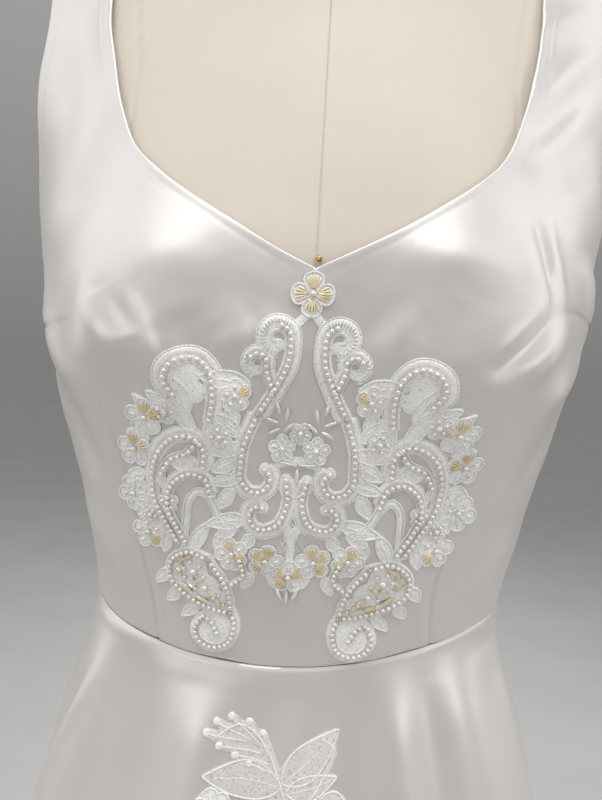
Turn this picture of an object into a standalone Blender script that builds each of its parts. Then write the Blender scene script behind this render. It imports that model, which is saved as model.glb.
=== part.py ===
# A floor-length satin wedding dress on a limbless dress form with a round stand.
# World units are metres, +Z is up, the dress faces -Y, and the origin is on the floor under the pole.
# Sizes below are millimetres. Angles are degrees round the body: 0 centre front, 90 its side,
# 180 centre back. Heights are measured from the waist line.

import math
from collections import namedtuple

import bpy
import bmesh
import numpy as np
from mathutils import Vector

MM = 0.001

# Driving sizes
WAIST_HEIGHT = 1050.0
HEM_CLEARANCE = 12.0
WALL = 1.5
SEAM_GAP = 0.3
CLOTH_EASE = 2.2
SHOULDER_EASE = 1.95
SECTION_POWER = 2.4
HEM_DROP = WAIST_HEIGHT - HEM_CLEARANCE

Section = namedtuple("Section", "height half_width front back")

FORM_SECTIONS = [
    Section(-285, 112, 80, 90),
    Section(-272, 138, 96, 112),
    Section(-235, 151, 106, 124),
    Section(-180, 154, 109, 127),
    Section(-120, 148, 106, 119),
    Section(-60, 134, 99, 103),
    Section(-30, 125, 93, 94),
    Section(0, 119, 90, 88),
    Section(30, 122, 93, 89),
    Section(60, 127, 98, 92),
    Section(80, 133, 103, 94),
    Section(110, 141, 109, 97),
    Section(150, 149, 115, 101),
    Section(185, 155, 113, 104),
    Section(220, 161, 104, 105),
    Section(260, 164, 90, 103),
    Section(300, 168, 75, 97),
    Section(335, 168, 62, 87),
    Section(355, 166, 56, 79),
    Section(363, 164, 54, 75),
    Section(369, 160, 53, 72),
    Section(376, 145, 51, 68),
    Section(388, 113, 49, 62),
    Section(400, 82, 48, 58),
    Section(408, 68, 48, 56),
    Section(420, 59, 48, 54),
    Section(450, 56, 48, 52),
    Section(480, 55, 48, 51),
]

SKIRT_SECTIONS = [
    Section(-1040, 402, 378, 384),
    Section(-700, 309, 278, 292),
    Section(-400, 229, 192, 208),
    Section(-220, 181, 143, 158),
    Section(-140, 159, 121, 134),
    Section(-80, 145, 110, 117),
    Section(-40, 133.5, 102, 104),
    Section(-18, 126.8, 97.2, 96),
    Section(0, 122.9, 93.9, 91.9),
    Section(10, 122.7, 93.6, 91.6),
]


def smooth_curve(places, values):
    """A curve through the given values that never overshoots them."""
    places = np.asarray(places, dtype=float)
    values = np.asarray(values, dtype=float)
    steps = np.diff(places)
    slopes = np.diff(values) / steps
    tangents = np.zeros(len(places))
    tangents[0], tangents[-1] = slopes[0], slopes[-1]
    same_way = slopes[:-1] * slopes[1:] > 0
    total = np.where(same_way, slopes[:-1] + slopes[1:], 1.0)
    tangents[1:-1] = np.where(same_way, 2 * slopes[:-1] * slopes[1:] / total, 0.0)

    def at(place):
        place = np.asarray(place, dtype=float)
        row = np.clip(np.searchsorted(places, place) - 1, 0, len(steps) - 1)
        t = np.clip((place - places[row]) / steps[row], 0.0, 1.0)
        start = (1 + 2 * t) * (1 - t) ** 2 * values[row] + t * (1 - t) ** 2 * steps[row] * tangents[row]
        end = t * t * (3 - 2 * t) * values[row + 1] + t * t * (t - 1) * steps[row] * tangents[row + 1]
        return start + end

    return at


def section_curves(rows):
    heights = [row.height for row in rows]
    return [smooth_curve(heights, [row[column] for row in rows]) for column in (1, 2, 3)]


FORM_CURVES = section_curves(FORM_SECTIONS)
SKIRT_CURVES = section_curves(SKIRT_SECTIONS)


def smoothstep(low, high, value):
    t = np.clip((value - low) / (high - low), 0.0, 1.0)
    return t * t * (3 - 2 * t)


def section_radius(angle, height, curves):
    """Distance from the body's upright axis to a rounded oval section."""
    half_width, front, back = (curve(height) for curve in curves)
    across = np.abs(np.sin(np.radians(angle)))
    along = np.cos(np.radians(angle))
    depth = np.where(along > 0, front, back)
    power = SECTION_POWER
    return ((across / half_width) ** power + (np.abs(along) / depth) ** power) ** (-1 / power)


def on_radius(angle, height, radius):
    turn = np.radians(angle)
    return np.stack([radius * np.sin(turn), -radius * np.cos(turn), height + 0 * radius], axis=-1)


# Bust: one soft rise on each side of the front
BUST_ANGLE = 41.0
BUST_HEIGHT = 152.0
BUST_RISE = 14.0
BUST_SPREAD = 18.0
BUST_TALL = 46.0


def bust(angle, height):
    side = np.abs(wrapped(angle)) - BUST_ANGLE
    return BUST_RISE * np.exp(-(side / BUST_SPREAD) ** 2 - ((height - BUST_HEIGHT) / BUST_TALL) ** 2)


def wrapped(angle):
    return (np.asarray(angle, dtype=float) + 180.0) % 360.0 - 180.0


def form_point(angle, height):
    radius = section_radius(angle, height, FORM_CURVES) + bust(angle, height)
    return on_radius(angle, height, radius)


# Skirt flutes: soft ridges that grow towards the hem, a row for each ridge
Flute = namedtuple("Flute", "angle half_angle rise start")
FLUTES = [
    Flute(-31, 17, 27, -30),
    Flute(33, 18, 25, -20),
    Flute(2, 12, 11, -330),
    Flute(-64, 14, 22, -120),
    Flute(66, 14, 24, -90),
    Flute(-93, 13, 20, -160),
    Flute(95, 13, 19, -200),
    Flute(-121, 14, 24, -110),
    Flute(123, 14, 23, -130),
    Flute(-150, 14, 22, -90),
    Flute(151, 13, 24, -80),
    Flute(180, 13, 20, -180),
]
FLUTE_GROWTH = 1.15


def flutes(angle, height):
    rise = np.zeros(np.broadcast(angle, height).shape)
    for flute in FLUTES:
        away = np.abs(wrapped(np.asarray(angle) - flute.angle)) / flute.half_angle
        ridge = np.where(away < 1, np.cos(np.minimum(away, 1) * math.pi / 2) ** 2, 0.0)
        grown = np.clip((flute.start - height) / (flute.start + HEM_DROP), 0.0, 1.0) ** FLUTE_GROWTH
        rise += flute.rise * ridge * grown
    return rise


def skirt_point(angle, height):
    return on_radius(angle, height, section_radius(angle, height, SKIRT_CURVES) + flutes(angle, height))


def normals_of(surface, angle, height):
    """Outward unit normals of a surface given by angle and height."""
    turn, lift = 0.05, 0.05
    across = surface(angle + turn, height) - surface(angle - turn, height)
    upward = surface(angle, height + lift) - surface(angle, height - lift)
    normal = np.cross(across, upward)
    return normal / np.linalg.norm(normal, axis=-1, keepdims=True)


def moved_out(surface, angle, height, distance):
    distance = np.asarray(distance)[..., None] if np.ndim(distance) else distance
    return surface(angle, height) + normals_of(surface, angle, height) * distance


# The waist seam dips at the centre front and lies a little higher on the +X side
WAIST_SIDE, WAIST_FRONT, WAIST_BACK = 8.0, -9.0, 0.0
WAIST_TILT = 5.0


def waist_seam(angle):
    middle = np.cos(np.radians(angle))
    dip = np.where(middle > 0, WAIST_SIDE - WAIST_FRONT, WAIST_SIDE - WAIST_BACK)
    return WAIST_SIDE - dip * middle ** 2 + WAIST_TILT * np.sin(np.radians(angle))


# Folds in the bodice: soft ridges of the cloth between two points, at one side only
Fold = namedtuple("Fold", "angle_a height_a angle_b height_b half_width rise")
BODICE_FOLDS = [
    Fold(-66, 178, -55, 128, 9, 3.0),
    Fold(-78, 150, -70, 110, 8, 2.0),
    Fold(64, 196, 74, 160, 8, 3.5),
    Fold(50, 128, 68, 152, 8, 2.5),
    Fold(112, 150, 100, 120, 10, 2.5),
    Fold(-114, 140, -102, 112, 10, 2.5),
    Fold(150, 30, 112, 22, 8, 2.0),
    Fold(-148, 26, -110, 18, 8, 2.0),
    Fold(-83, 225, -81, 345, 15, 4.5),
    Fold(84, 240, 82, 345, 13, 2.5),
]
MM_PER_DEGREE = 2.1


def ridge_between(angle, height, fold):
    """1 on the line from a to b, falling to 0 at half_width from it."""
    start = np.array([fold.angle_a * MM_PER_DEGREE, fold.height_a])
    run = np.array([fold.angle_b * MM_PER_DEGREE, fold.height_b]) - start
    across = wrapped(angle) * MM_PER_DEGREE - start[0]
    along = np.asarray(height) - start[1]
    t = np.clip((across * run[0] + along * run[1]) / (run @ run), 0.0, 1.0)
    distance = np.hypot(across - t * run[0], along - t * run[1])
    return np.exp(-(distance / fold.half_width) ** 2) * np.sin(math.pi * (0.15 + 0.7 * t))


WAIST_DART = Fold(BUST_ANGLE, -12, BUST_ANGLE, 134, 2.2, 1.1)
SIDE_DART = Fold(90, 160, 58, 160, 2.2, 1.1)


def dart_dip(angle, height):
    """The sewn darts pull the cloth in along their lines."""
    near = np.zeros(np.broadcast(angle, height).shape)
    for dart in (WAIST_DART, SIDE_DART):
        for side in (1, -1):
            line = Fold(side * dart.angle_a, dart.height_a, side * dart.angle_b, dart.height_b, *dart[4:])
            near = np.maximum(near, ridge_between(angle, height, line) * dart.rise)
    return near


def undarted_offset(angle, height):
    """How far the bodice's inner face stands off the form, but for its darts."""
    ease = CLOTH_EASE + (SHOULDER_EASE - CLOTH_EASE) * smoothstep(300, 352, height)
    return ease + sum(fold.rise * ridge_between(angle, height, fold) for fold in BODICE_FOLDS)


def bodice_point(angle, height, out=0.0):
    """A point of the bodice cloth, out from its inner face."""
    offset = undarted_offset(angle, height) - dart_dip(angle, height)
    return moved_out(form_point, angle, height, offset + out)


# Mesh helpers
def clear_scene():
    for thing in list(bpy.data.objects):
        bpy.data.objects.remove(thing, do_unlink=True)


Finish = namedtuple("Finish", "name colour roughness metallic")
SATIN = Finish("satin", (0.86, 0.84, 0.82), 0.35, 0.0)
LACE = Finish("lace", (0.90, 0.90, 0.90), 0.60, 0.0)
MUSLIN = Finish("muslin", (0.76, 0.69, 0.58), 0.85, 0.0)
PLATE = Finish("form_plate", (0.70, 0.63, 0.52), 0.70, 0.0)
BRASS = Finish("pin_brass", (0.62, 0.42, 0.16), 0.30, 1.0)
ZIP_TAPE = Finish("zip_tape", (0.88, 0.86, 0.83), 0.80, 0.0)
ZIP_METAL = Finish("zip_metal", (0.80, 0.79, 0.76), 0.30, 1.0)
STAND_METAL = Finish("stand_metal", (0.10, 0.10, 0.11), 0.45, 1.0)


def material(finish):
    made = bpy.data.materials.get(finish.name)
    if made is None:
        made = bpy.data.materials.new(finish.name)
        made.use_nodes = True
        shader = made.node_tree.nodes["Principled BSDF"]
        shader.inputs["Base Color"].default_value = (*finish.colour, 1.0)
        shader.inputs["Roughness"].default_value = finish.roughness
        shader.inputs["Metallic"].default_value = finish.metallic
    return made


def add_object(name, points, faces, finish, lift=WAIST_HEIGHT):
    """Make an object from points in millimetres, lifted from the waist line to the floor's frame."""
    mesh = bpy.data.meshes.new(name)
    points = np.asarray(points, dtype=float) + np.array([0.0, 0.0, lift])
    mesh.from_pydata((points * MM).tolist(), [], [list(map(int, face)) for face in faces])
    mesh.shade_smooth()
    mesh.set_sharp_from_angle(angle=math.radians(40))
    thing = bpy.data.objects.new(name, mesh)
    thing.data.materials.append(material(finish))
    bpy.context.collection.objects.link(thing)
    return thing


def split_in_triangles(faces, points):
    """Cut each four-sided face along its shorter diagonal."""
    cut = []
    for face in faces:
        if len(face) == 3:
            cut.append(tuple(face))
            continue
        a, b, c, d = face
        if np.sum((points[a] - points[c]) ** 2) <= np.sum((points[b] - points[d]) ** 2):
            cut += [(a, b, c), (a, c, d)]
        else:
            cut += [(a, b, d), (b, c, d)]
    return cut


def walled(name, outer, inner, faces, finish):
    """A closed wall from a sheet's outer and inner points; faces wind outward on the outer side."""
    count = len(outer)
    faces = split_in_triangles(faces, outer)
    directed = {(face[i], face[(i + 1) % 3]) for face in faces for i in range(3)}
    rim = [(a, b) for a, b in directed if (b, a) not in directed]
    back = [tuple(index + count for index in reversed(face)) for face in faces]
    side = [(b, a, a + count, b + count) for a, b in sorted(rim)]
    return add_object(name, np.vstack([outer, inner]), faces + back + side, finish)


def grid_faces(rows, columns):
    faces = []
    for row in range(rows - 1):
        for column in range(columns - 1):
            corner = row * columns + column
            faces.append((corner, corner + 1, corner + columns + 1, corner + columns))
    return faces


# Edges of the bodice panels, as angle and height
def front_angle(half_x, height):
    """The angle of a point of the cloth at a given distance from the centre line."""
    half_width, front, _ = (curve(height) for curve in FORM_CURVES)
    stand_off = CLOTH_EASE + WALL
    share = np.clip(half_x / (half_width + stand_off), 0.0, 1.0)
    depth = (front + stand_off) * (1 - share ** SECTION_POWER) ** (1 / SECTION_POWER)
    return np.degrees(np.arctan2(half_x, depth))


def ridge_height(half_x):
    """Height of the shoulder's ridge above a point of the shoulder."""
    heights = np.linspace(363, 420, 400)
    return np.interp(half_x, FORM_CURVES[0](heights)[::-1], heights[::-1])


STRAP_INNER, STRAP_OUTER = 118.0, 160.0
LEFT_NECK_WIDER = 1.045
UNDERARM = 178.0
NECK_POINT = 183.0
BACK_NECK = 300.0

NeckRow = namedtuple("NeckRow", "half_x height")
FRONT_NECK = [
    NeckRow(0, NECK_POINT),
    NeckRow(19, 192),
    NeckRow(37, 202),
    NeckRow(55.5, 214),
    NeckRow(73.5, 227),
    NeckRow(88, 241),
    NeckRow(97.5, 260),
    NeckRow(107, 290),
    NeckRow(113.5, 315),
    NeckRow(117, 341),
    NeckRow(STRAP_INNER, 362),
]
BACK_NECK_ROWS = [
    NeckRow(0, BACK_NECK),
    NeckRow(30, 302),
    NeckRow(62, 310),
    NeckRow(88, 325),
    NeckRow(106, 345),
    NeckRow(115, 364),
]
ArmRow = namedtuple("ArmRow", "from_side height")
ARMHOLE = [
    ArmRow(0, UNDERARM),
    ArmRow(8, 185),
    ArmRow(11.5, 204),
    ArmRow(13, 240),
    ArmRow(13, 282),
    ArmRow(12, 320),
    ArmRow(10, 345),
    ArmRow(7, 358),
]


def evenly(path, count=240):
    """An edge as a function of 0 to 1, by length along the cloth."""
    path = np.asarray(path, dtype=float)
    places = np.arange(len(path))
    fine = np.linspace(0, len(path) - 1, count)
    angle = smooth_curve(places, path[:, 0])(fine)
    height = smooth_curve(places, path[:, 1])(fine)
    steps = np.linalg.norm(np.diff(form_point(angle, height), axis=0), axis=1)
    length = np.concatenate([[0.0], np.cumsum(steps)])
    length /= length[-1]
    return lambda t: np.stack([np.interp(t, length, angle), np.interp(t, length, height)], axis=-1)


def upright(angle, low, high):
    return lambda t: np.stack([angle + 0 * t, low + (high - low) * t], axis=-1)


def over_ridge(half_x, last_height, side_angle, front=True):
    """Rows from a strap edge's last height up to the shoulder's ridge."""
    top = float(ridge_height(half_x))
    rows = []
    for share in (0.35, 0.62, 0.82, 0.94):
        height = last_height + (top - last_height) * share
        angle = float(front_angle(half_x, height)) if front else float(back_angle(half_x, height))
        rows.append((angle, height))
    rows.append((side_angle, top))
    return rows


def back_angle(half_x, height):
    half_width, _, back = (curve(height) for curve in FORM_CURVES)
    stand_off = CLOTH_EASE + WALL
    share = np.clip(half_x / (half_width + stand_off), 0.0, 1.0)
    depth = (back + stand_off) * (1 - share ** SECTION_POWER) ** (1 / SECTION_POWER)
    return 180.0 - np.degrees(np.arctan2(half_x, depth))


def joined(first, second, at):
    def edge(t):
        t = np.asarray(t, dtype=float)[..., None]
        low = first(np.clip(t[..., 0] / at, 0, 1))
        high = second(np.clip((t[..., 0] - at) / (1 - at), 0, 1))
        return np.where(t < at, low, high)
    return edge


def coons(inner, outer, bottom, top, us, vs):
    """Angles and heights inside four edges; inner and outer run upward, bottom and top outward."""
    u, v = us[None, :, None], vs[:, None, None]
    corners = ((1 - u) * (1 - v) * inner(np.array([0.0])) + u * (1 - v) * outer(np.array([0.0]))
               + (1 - u) * v * inner(np.array([1.0])) + u * v * outer(np.array([1.0])))
    sides = (1 - u) * inner(vs)[:, None, :] + u * outer(vs)[:, None, :]
    ends = (1 - v) * bottom(us)[None, :, :] + v * top(us)[None, :, :]
    return sides + ends - corners


def half_bodice(front, hand):
    """Angles and heights of one half of the front, or of one back: hand is 1 at +X and -1 at -X."""
    turn = 1 if front else -1
    side = 90.0 - turn * 0.07
    middle = 0.0 if front else 180.0 - 0.17
    wider = LEFT_NECK_WIDER if hand < 0 else 1.0
    neck_rows = FRONT_NECK if front else BACK_NECK_ROWS
    angle_at = front_angle if front else back_angle
    neck = [(float(angle_at(row.half_x * wider, row.height)), row.height) for row in neck_rows]
    neck[0] = (middle, neck_rows[0].height)
    neck += over_ridge(STRAP_INNER * wider, neck_rows[-1].height, side, front)
    arm = [(side - turn * row.from_side, row.height) for row in ARMHOLE]
    arm.append((side, float(ridge_height(STRAP_OUTER))))
    low_middle = float(waist_seam(hand * middle)) + SEAM_GAP / 2
    low_side = float(waist_seam(hand * side)) + SEAM_GAP / 2
    neck_share = 0.5 if front else 0.62
    inner = joined(upright(middle, low_middle, neck_rows[0].height), evenly(neck), neck_share)
    outer = joined(upright(side, low_side, UNDERARM), evenly(arm), 0.5)

    def bottom(u):
        angle = middle + (side - middle) * u
        return np.stack([angle, waist_seam(hand * angle) + SEAM_GAP / 2], axis=-1)

    def top(u):
        half_x = STRAP_INNER * wider + (STRAP_OUTER - STRAP_INNER * wider) * u
        return np.stack([side + 0 * u, ridge_height(half_x)], axis=-1)

    us = FRONT_COLUMNS if front else BACK_COLUMNS
    vs = FRONT_ROWS if front else BACK_ROWS
    return coons(inner, outer, bottom, top, us, vs) * np.array([hand, 1.0])


DART_COLUMN = BUST_ANGLE / 90.0
FRONT_COLUMNS = np.array([0, 0.1, 0.2, 0.3, 0.38, 0.43, DART_COLUMN, 0.48, 0.54, 0.64, 0.76, 0.88, 1.0])
FRONT_ROWS = np.array([0, 0.06, 0.13, 0.20, 0.27, 0.34, 0.40, 0.43, 0.447, 0.464, 0.5,
                       0.54, 0.58, 0.63, 0.68, 0.73, 0.78, 0.83, 0.875, 0.91, 0.94, 0.97, 1.0])
BACK_COLUMNS = np.array([0, 0.075, 0.18, 0.31, 0.45, 0.59, 0.73, 0.87, 1.0])
BACK_ROWS = np.array([0, 0.08, 0.16, 0.25, 0.34, 0.42, 0.5, 0.56, 0.62,
                      0.69, 0.76, 0.82, 0.86, 0.895, 0.925, 0.955, 0.98, 1.0])


def bodice_front():
    right, left = half_bodice(True, 1), half_bodice(True, -1)
    rows, columns = right.shape[:2]
    neck_row = int(np.argmin(np.abs(FRONT_ROWS - 0.5)))
    angle = np.concatenate([right[..., 0].ravel(), left[..., 0].ravel()])
    height = np.concatenate([right[..., 1].ravel(), left[..., 1].ravel()])
    faces = grid_faces(rows, columns)
    half = rows * columns
    faces += [tuple(index + half for index in reversed(face)) for face in grid_faces(rows, columns)]
    shared = {row * columns + half: row * columns for row in range(neck_row + 1)}
    kept = [index for index in range(2 * half) if index not in shared]
    new_index = {old: new for new, old in enumerate(kept)}
    new_index.update({old: new_index[twin] for old, twin in shared.items()})
    faces = [tuple(new_index[index] for index in face) for face in faces]
    angle, height = angle[kept], height[kept]
    bodice_wall("bodice_front", angle, height, faces)


def bodice_wall(name, angle, height, faces):
    """The wall of a bodice panel; its lowest points lie level with the waist seam."""
    outer, inner = bodice_point(angle, height, WALL), bodice_point(angle, height)
    at_seam = height < waist_seam(angle) + SEAM_GAP
    for points in (outer, inner):
        points[at_seam, 2] = height[at_seam]
    walled(name, outer, inner, faces, SATIN)


def bodice_backs():
    for hand, name in ((1, "bodice_back_right"), (-1, "bodice_back_left")):
        grid = half_bodice(False, hand)
        angle, height = grid[..., 0].ravel(), grid[..., 1].ravel()
        faces = grid_faces(*grid.shape[:2])
        if hand == 1:
            faces = [tuple(reversed(face)) for face in faces]
        bodice_wall(name, angle, height, faces)


# Skirt
SKIRT_ROWS = [0, 0.014, 0.04, 0.085, 0.15, 0.27, 0.48, 0.74, 1.0]


SIDE_SEAM = 0.07
SKIRT_FRONT = (-90 + SIDE_SEAM, 90 - SIDE_SEAM, 43)
SKIRT_BACK_RIGHT = (90 + SIDE_SEAM, 180 - SIDE_SEAM, 22)
SKIRT_BACK_LEFT = (-180 + SIDE_SEAM, -90 - SIDE_SEAM, 22)


def skirt_grid(start, stop, columns):
    """Angles and heights of a skirt panel's points, a row for each level from the waist down."""
    turns = np.linspace(start, stop, columns)
    top = waist_seam(turns) - SEAM_GAP / 2
    heights = top[None, :] - (HEM_DROP + top[None, :]) * np.array(SKIRT_ROWS)[:, None]
    return np.broadcast_to(turns, heights.shape), heights


def skirt_wall_point(angle, height, out=0.0):
    """A point of the skirt's wall, level with its height."""
    points = moved_out(skirt_point, angle, height, out)
    points[..., 2] = height
    return points


def skirt_panel(name, start, stop, columns):
    angle, height = (values.ravel() for values in skirt_grid(start, stop, columns))
    faces = [tuple(reversed(face)) for face in grid_faces(len(SKIRT_ROWS), columns)]
    walled(name, skirt_wall_point(angle, height), skirt_wall_point(angle, height, -WALL), faces, SATIN)


def skirt():
    skirt_panel("skirt_front", *SKIRT_FRONT)
    skirt_panel("skirt_back_right", *SKIRT_BACK_RIGHT)
    skirt_panel("skirt_back_left", *SKIRT_BACK_LEFT)


# Lace: every motif is a run of discs, each with its centre and radius, on the front of the cloth
CORD = 3.0
THIN = 2.2
BAR = 2.4


def rounded_path(points, step=1.6):
    """A smooth path through a few points, in short even steps."""
    points = np.asarray(points, dtype=float)
    extended = np.vstack([2 * points[0] - points[1], points, 2 * points[-1] - points[-2]])
    made = []
    for a, b, c, d in zip(extended, extended[1:], extended[2:], extended[3:]):
        count = max(2, int(np.linalg.norm(c - b) / step))
        for t in np.arange(count) / count:
            made.append(0.5 * (2 * b + (c - a) * t + (2 * a - 5 * b + 4 * c - d) * t * t
                               + (3 * b - a - 3 * c + d) * t ** 3))
    made.append(points[-1])
    return np.array(made)


def cord(points, radius=CORD):
    path = rounded_path(points)
    return np.column_stack([path, np.full(len(path), radius)])


def leaf(x0, z0, x1, z1, width):
    """A pointed leaf from its root to its tip."""
    t = np.linspace(0, 1, 13)
    radius = 0.9 + (width / 2 - 0.9) * np.sin(math.pi * t ** 0.8) ** 0.9
    return np.column_stack([x0 + (x1 - x0) * t, z0 + (z1 - z0) * t, radius])


def flower(x, z, size, petals=5, turn=90.0):
    made = [np.array([[x, z, size * 0.34]])]
    for petal in range(petals):
        way = math.radians(turn + 360.0 * petal / petals)
        made.append(leaf(x + 0.15 * size * math.cos(way), z + 0.15 * size * math.sin(way),
                         x + size * math.cos(way), z + size * math.sin(way), size * 0.62))
    return np.vstack(made)


def mirrored(discs):
    return np.vstack([discs, discs * np.array([-1.0, 1.0, 1.0])])


def spiral(x, z, outer, inner, start, turns):
    """Points of a curl that closes from its outer radius to its inner one."""
    share = np.linspace(0, 1, int(abs(turns) * 8) + 2)
    way = np.radians(start) + turns * 2 * math.pi * share
    reach = outer + (inner - outer) * share
    return [(x + r * math.cos(w), z + r * math.sin(w)) for r, w in zip(reach, way)]


def bodice_lace_discs():
    """The applique's right half and its mirror image, with x from the centre and z from the waist."""
    scroll = spiral(14.5, 151.5, 6.5, 3.2, 185, -0.8)[::-1] + [
        (8.5, 141), (13.5, 130), (20.5, 118), (25.5, 104), (26.5, 93)] + spiral(18.0, 89, 8.5, 4.5, -10, -0.62)
    outer_curl = [(14.5, 129), (18, 138)] + spiral(22.5, 140.5, 4.5, 2.6, 160, -0.6)
    low_scroll = [(5, 88), (3.5, 78), (6.5, 69)] + spiral(15.5, 71.5, 7.5, 3.6, -125, 0.62)
    upper_paisley = [(46, 115), (42, 125), (45, 137), (54, 141.5), (62, 137), (63, 129), (56, 125)]
    middle_outer = [(44, 92), (44.5, 102), (53, 107), (64, 102), (70, 91), (69, 77), (62, 64)]
    middle_inner = [(40, 78), (43, 86), (51, 88.5), (58, 83), (60, 73), (56, 63), (51, 54)]
    low_leaf_outer = [(39, 46), (49, 48.5), (58, 42), (57.5, 31), (46, 22.5), (36, 18.5), (27, 18)]
    low_leaf_inner = [(39, 46), (32.5, 38), (28.5, 28), (27, 18)]
    tail = [(27, 18), (25, 14)] + spiral(35.5, 7.5, 10.8, 8.6, 175, 0.62)
    tail_hook = [(41, 14), (36, 11.5), (33, 6.5)]
    side = [
        cord(scroll), cord(outer_curl, THIN), cord(low_scroll), cord(upper_paisley),
        cord(middle_outer), cord(middle_inner, THIN), cord(low_leaf_outer), cord(low_leaf_inner, THIN),
        cord(tail), cord(tail_hook, THIN), cord([(0, 163), (5, 159), (9, 155)], BAR),
        leaf(25, 131, 47, 134, 8), leaf(51, 118, 57, 133, 7), leaf(58, 124, 47, 104, 7),
        leaf(25, 103, 45, 99, 7), leaf(26, 88, 42, 84, 6), leaf(22, 68, 42, 64, 8), leaf(41, 64, 50, 46, 7),
        flower(71, 117, 9.5), flower(79, 96, 9, 5, 20), flower(80, 74, 9, 5, 60), flower(71, 54, 9.5, 5, 10),
        flower(28, 52, 9, 5, 70), flower(13, 46, 9.5, 5, 30), leaf(10, 41, 1, 33, 7),
    ]
    middle = [
        flower(0, 171, 9.5, 4, 45), cord([(-6, 84), (0, 80), (6, 84)], BAR), flower(0, 28, 8.5, 5, 90),
        cord([(-5, 74), (0, 60), (5, 74)], BAR), leaf(0, 64, 0, 40, 7),
    ]
    return leaned(np.vstack([mirrored(np.vstack(side))] + middle))


LACE_LEAN = 2.0
LACE_MIDDLE = 190.0


def leaned(discs):
    """The applique is sewn on a little askew, its foot towards -X."""
    shift = (discs[:, 1] - LACE_MIDDLE) * math.tan(math.radians(LACE_LEAN))
    return discs + np.column_stack([shift, np.zeros(len(discs)), np.zeros(len(discs))])


def skirt_lace_discs():
    """A leafy spray below the waist, its stem leaning to one side."""
    stem = [(-36, -42), (-24, -36), (-12, -45), (-2, -64), (6, -88), (3, -114), (-8, -134)]
    branch = [(2, -76), (14, -62), (22, -46), (16, -39)]
    low_branch = [(5, -104), (20, -110), (31, -124), (26, -138)]
    side_branch = [(4, -92), (-12, -90), (-28, -98), (-34, -112), (-26, -120)]
    parts = [
        cord(stem), cord(branch, THIN), cord(low_branch), cord(side_branch, THIN),
        flower(-35, -56, 10), flower(-20, -66, 10, 5, 10), flower(26, -72, 10, 5, 50),
        flower(24, -94, 9, 5, 0), flower(-16, -142, 10, 5, 15), flower(-12, -110, 9, 5, 30),
        leaf(-12, -46, 4, -40, 8), leaf(-6, -57, 12, -52, 7), leaf(6, -88, 24, -84, 8),
        leaf(14, -62, 28, -60, 7), leaf(20, -110, 32, -104, 7), leaf(-28, -98, -30, -80, 7),
        leaf(3, -114, 14, -132, 8), leaf(-40, -64, -36, -40, 6), leaf(31, -124, 44, -128, 7),
    ]
    return np.vstack(parts)


LACE_LIFT = 0.5
LACE_WALL = 1.0
CORD_RISE = 1.1
NEAR_CUT = 0.14
FILLED_GAP = 0.4
BODICE_LACE_CELL = 5.8
SKIRT_LACE_CELL = 7.0


def lace_height(x, z, discs):
    """Signed depth inside the motifs, and how much of a cord's crown stands at each point."""
    depth = np.full(x.shape, -1e9)
    crown = np.zeros(x.shape)
    for disc_x, disc_z, radius in discs:
        distance = np.hypot(x - disc_x, z - disc_z)
        depth = np.maximum(depth, radius - distance)
        crown = np.maximum(crown, np.sqrt(np.clip(1 - (distance / radius) ** 2, 0, 1)))
    return depth, crown


def cut_sheet(x, z, depth, triangles):
    """Keep the part of a triangle grid where depth is above zero, cutting its edge triangles."""
    points, index_of, faces = [], {}, []

    def corner(a):
        if a not in index_of:
            index_of[a] = len(points)
            points.append((x[a], z[a]))
        return index_of[a]

    def crossing(a, b):
        key = (min(a, b), max(a, b))
        if key not in index_of:
            low, high = key
            t = np.clip(depth[low] / (depth[low] - depth[high]), NEAR_CUT, 1 - NEAR_CUT)
            index_of[key] = len(points)
            points.append((x[low] + t * (x[high] - x[low]), z[low] + t * (z[high] - z[low])))
        return index_of[key]

    for triangle in triangles:
        loop = []
        for a, b in zip(triangle, triangle[1:] + triangle[:1]):
            if depth[a] > 0:
                loop.append(corner(a))
            if (depth[a] > 0) != (depth[b] > 0):
                loop.append(crossing(a, b))
        if len(loop) >= 3:
            faces.append(tuple(loop))
    return np.array(points), faces


def largest_piece(points, faces):
    """Drop every scrap that isn't joined to the largest piece."""
    group = list(range(len(points)))

    def root(a):
        while group[a] != a:
            group[a] = group[group[a]]
            a = group[a]
        return a

    for face in faces:
        for index in face[1:]:
            group[root(index)] = root(face[0])
    roots = [root(face[0]) for face in faces]
    best = max(set(roots), key=roots.count)
    faces = [face for face, at in zip(faces, roots) if at == best]
    used = sorted({index for face in faces for index in face})
    renumber = {old: new for new, old in enumerate(used)}
    return points[used], [tuple(renumber[index] for index in face) for face in faces]


def triangle_grid(low_x, high_x, low_z, high_z, cell):
    """Points of an even triangle grid and its triangles."""
    rows = int((high_z - low_z) / (cell * 0.87)) + 2
    columns = int((high_x - low_x) / cell) + 2
    x, z, triangles = [], [], []
    for row in range(rows):
        for column in range(columns):
            x.append(low_x + (column + 0.5 * (row % 2)) * cell)
            z.append(low_z + row * cell * 0.87)
    for row in range(rows - 1):
        for column in range(columns - 1):
            a = row * columns + column
            b, c, d = a + 1, a + columns, a + columns + 1
            triangles += [(a, b, c), (b, d, c)] if row % 2 == 0 else [(a, d, c), (a, b, d)]
    return np.array(x), np.array(z), triangles


def lace(name, discs, place, cell):
    reach = 4.0
    low, high = discs.min(axis=0) - reach, discs.max(axis=0) + reach
    x, z, triangles = triangle_grid(low[0], high[0], low[1], high[1], cell)
    depth, _ = lace_height(x, z, discs)
    points, faces = largest_piece(*cut_sheet(x, z, depth + FILLED_GAP, triangles))
    _, crown = lace_height(points[:, 0], points[:, 1], discs)
    outer = place(points[:, 0], points[:, 1], LACE_LIFT + LACE_WALL + CORD_RISE * crown)
    inner = place(points[:, 0], points[:, 1], np.full(len(points), LACE_LIFT))
    faces = [face for loop in faces for face in fan(loop)]
    walled(name, outer, inner, faces, LACE)


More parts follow.
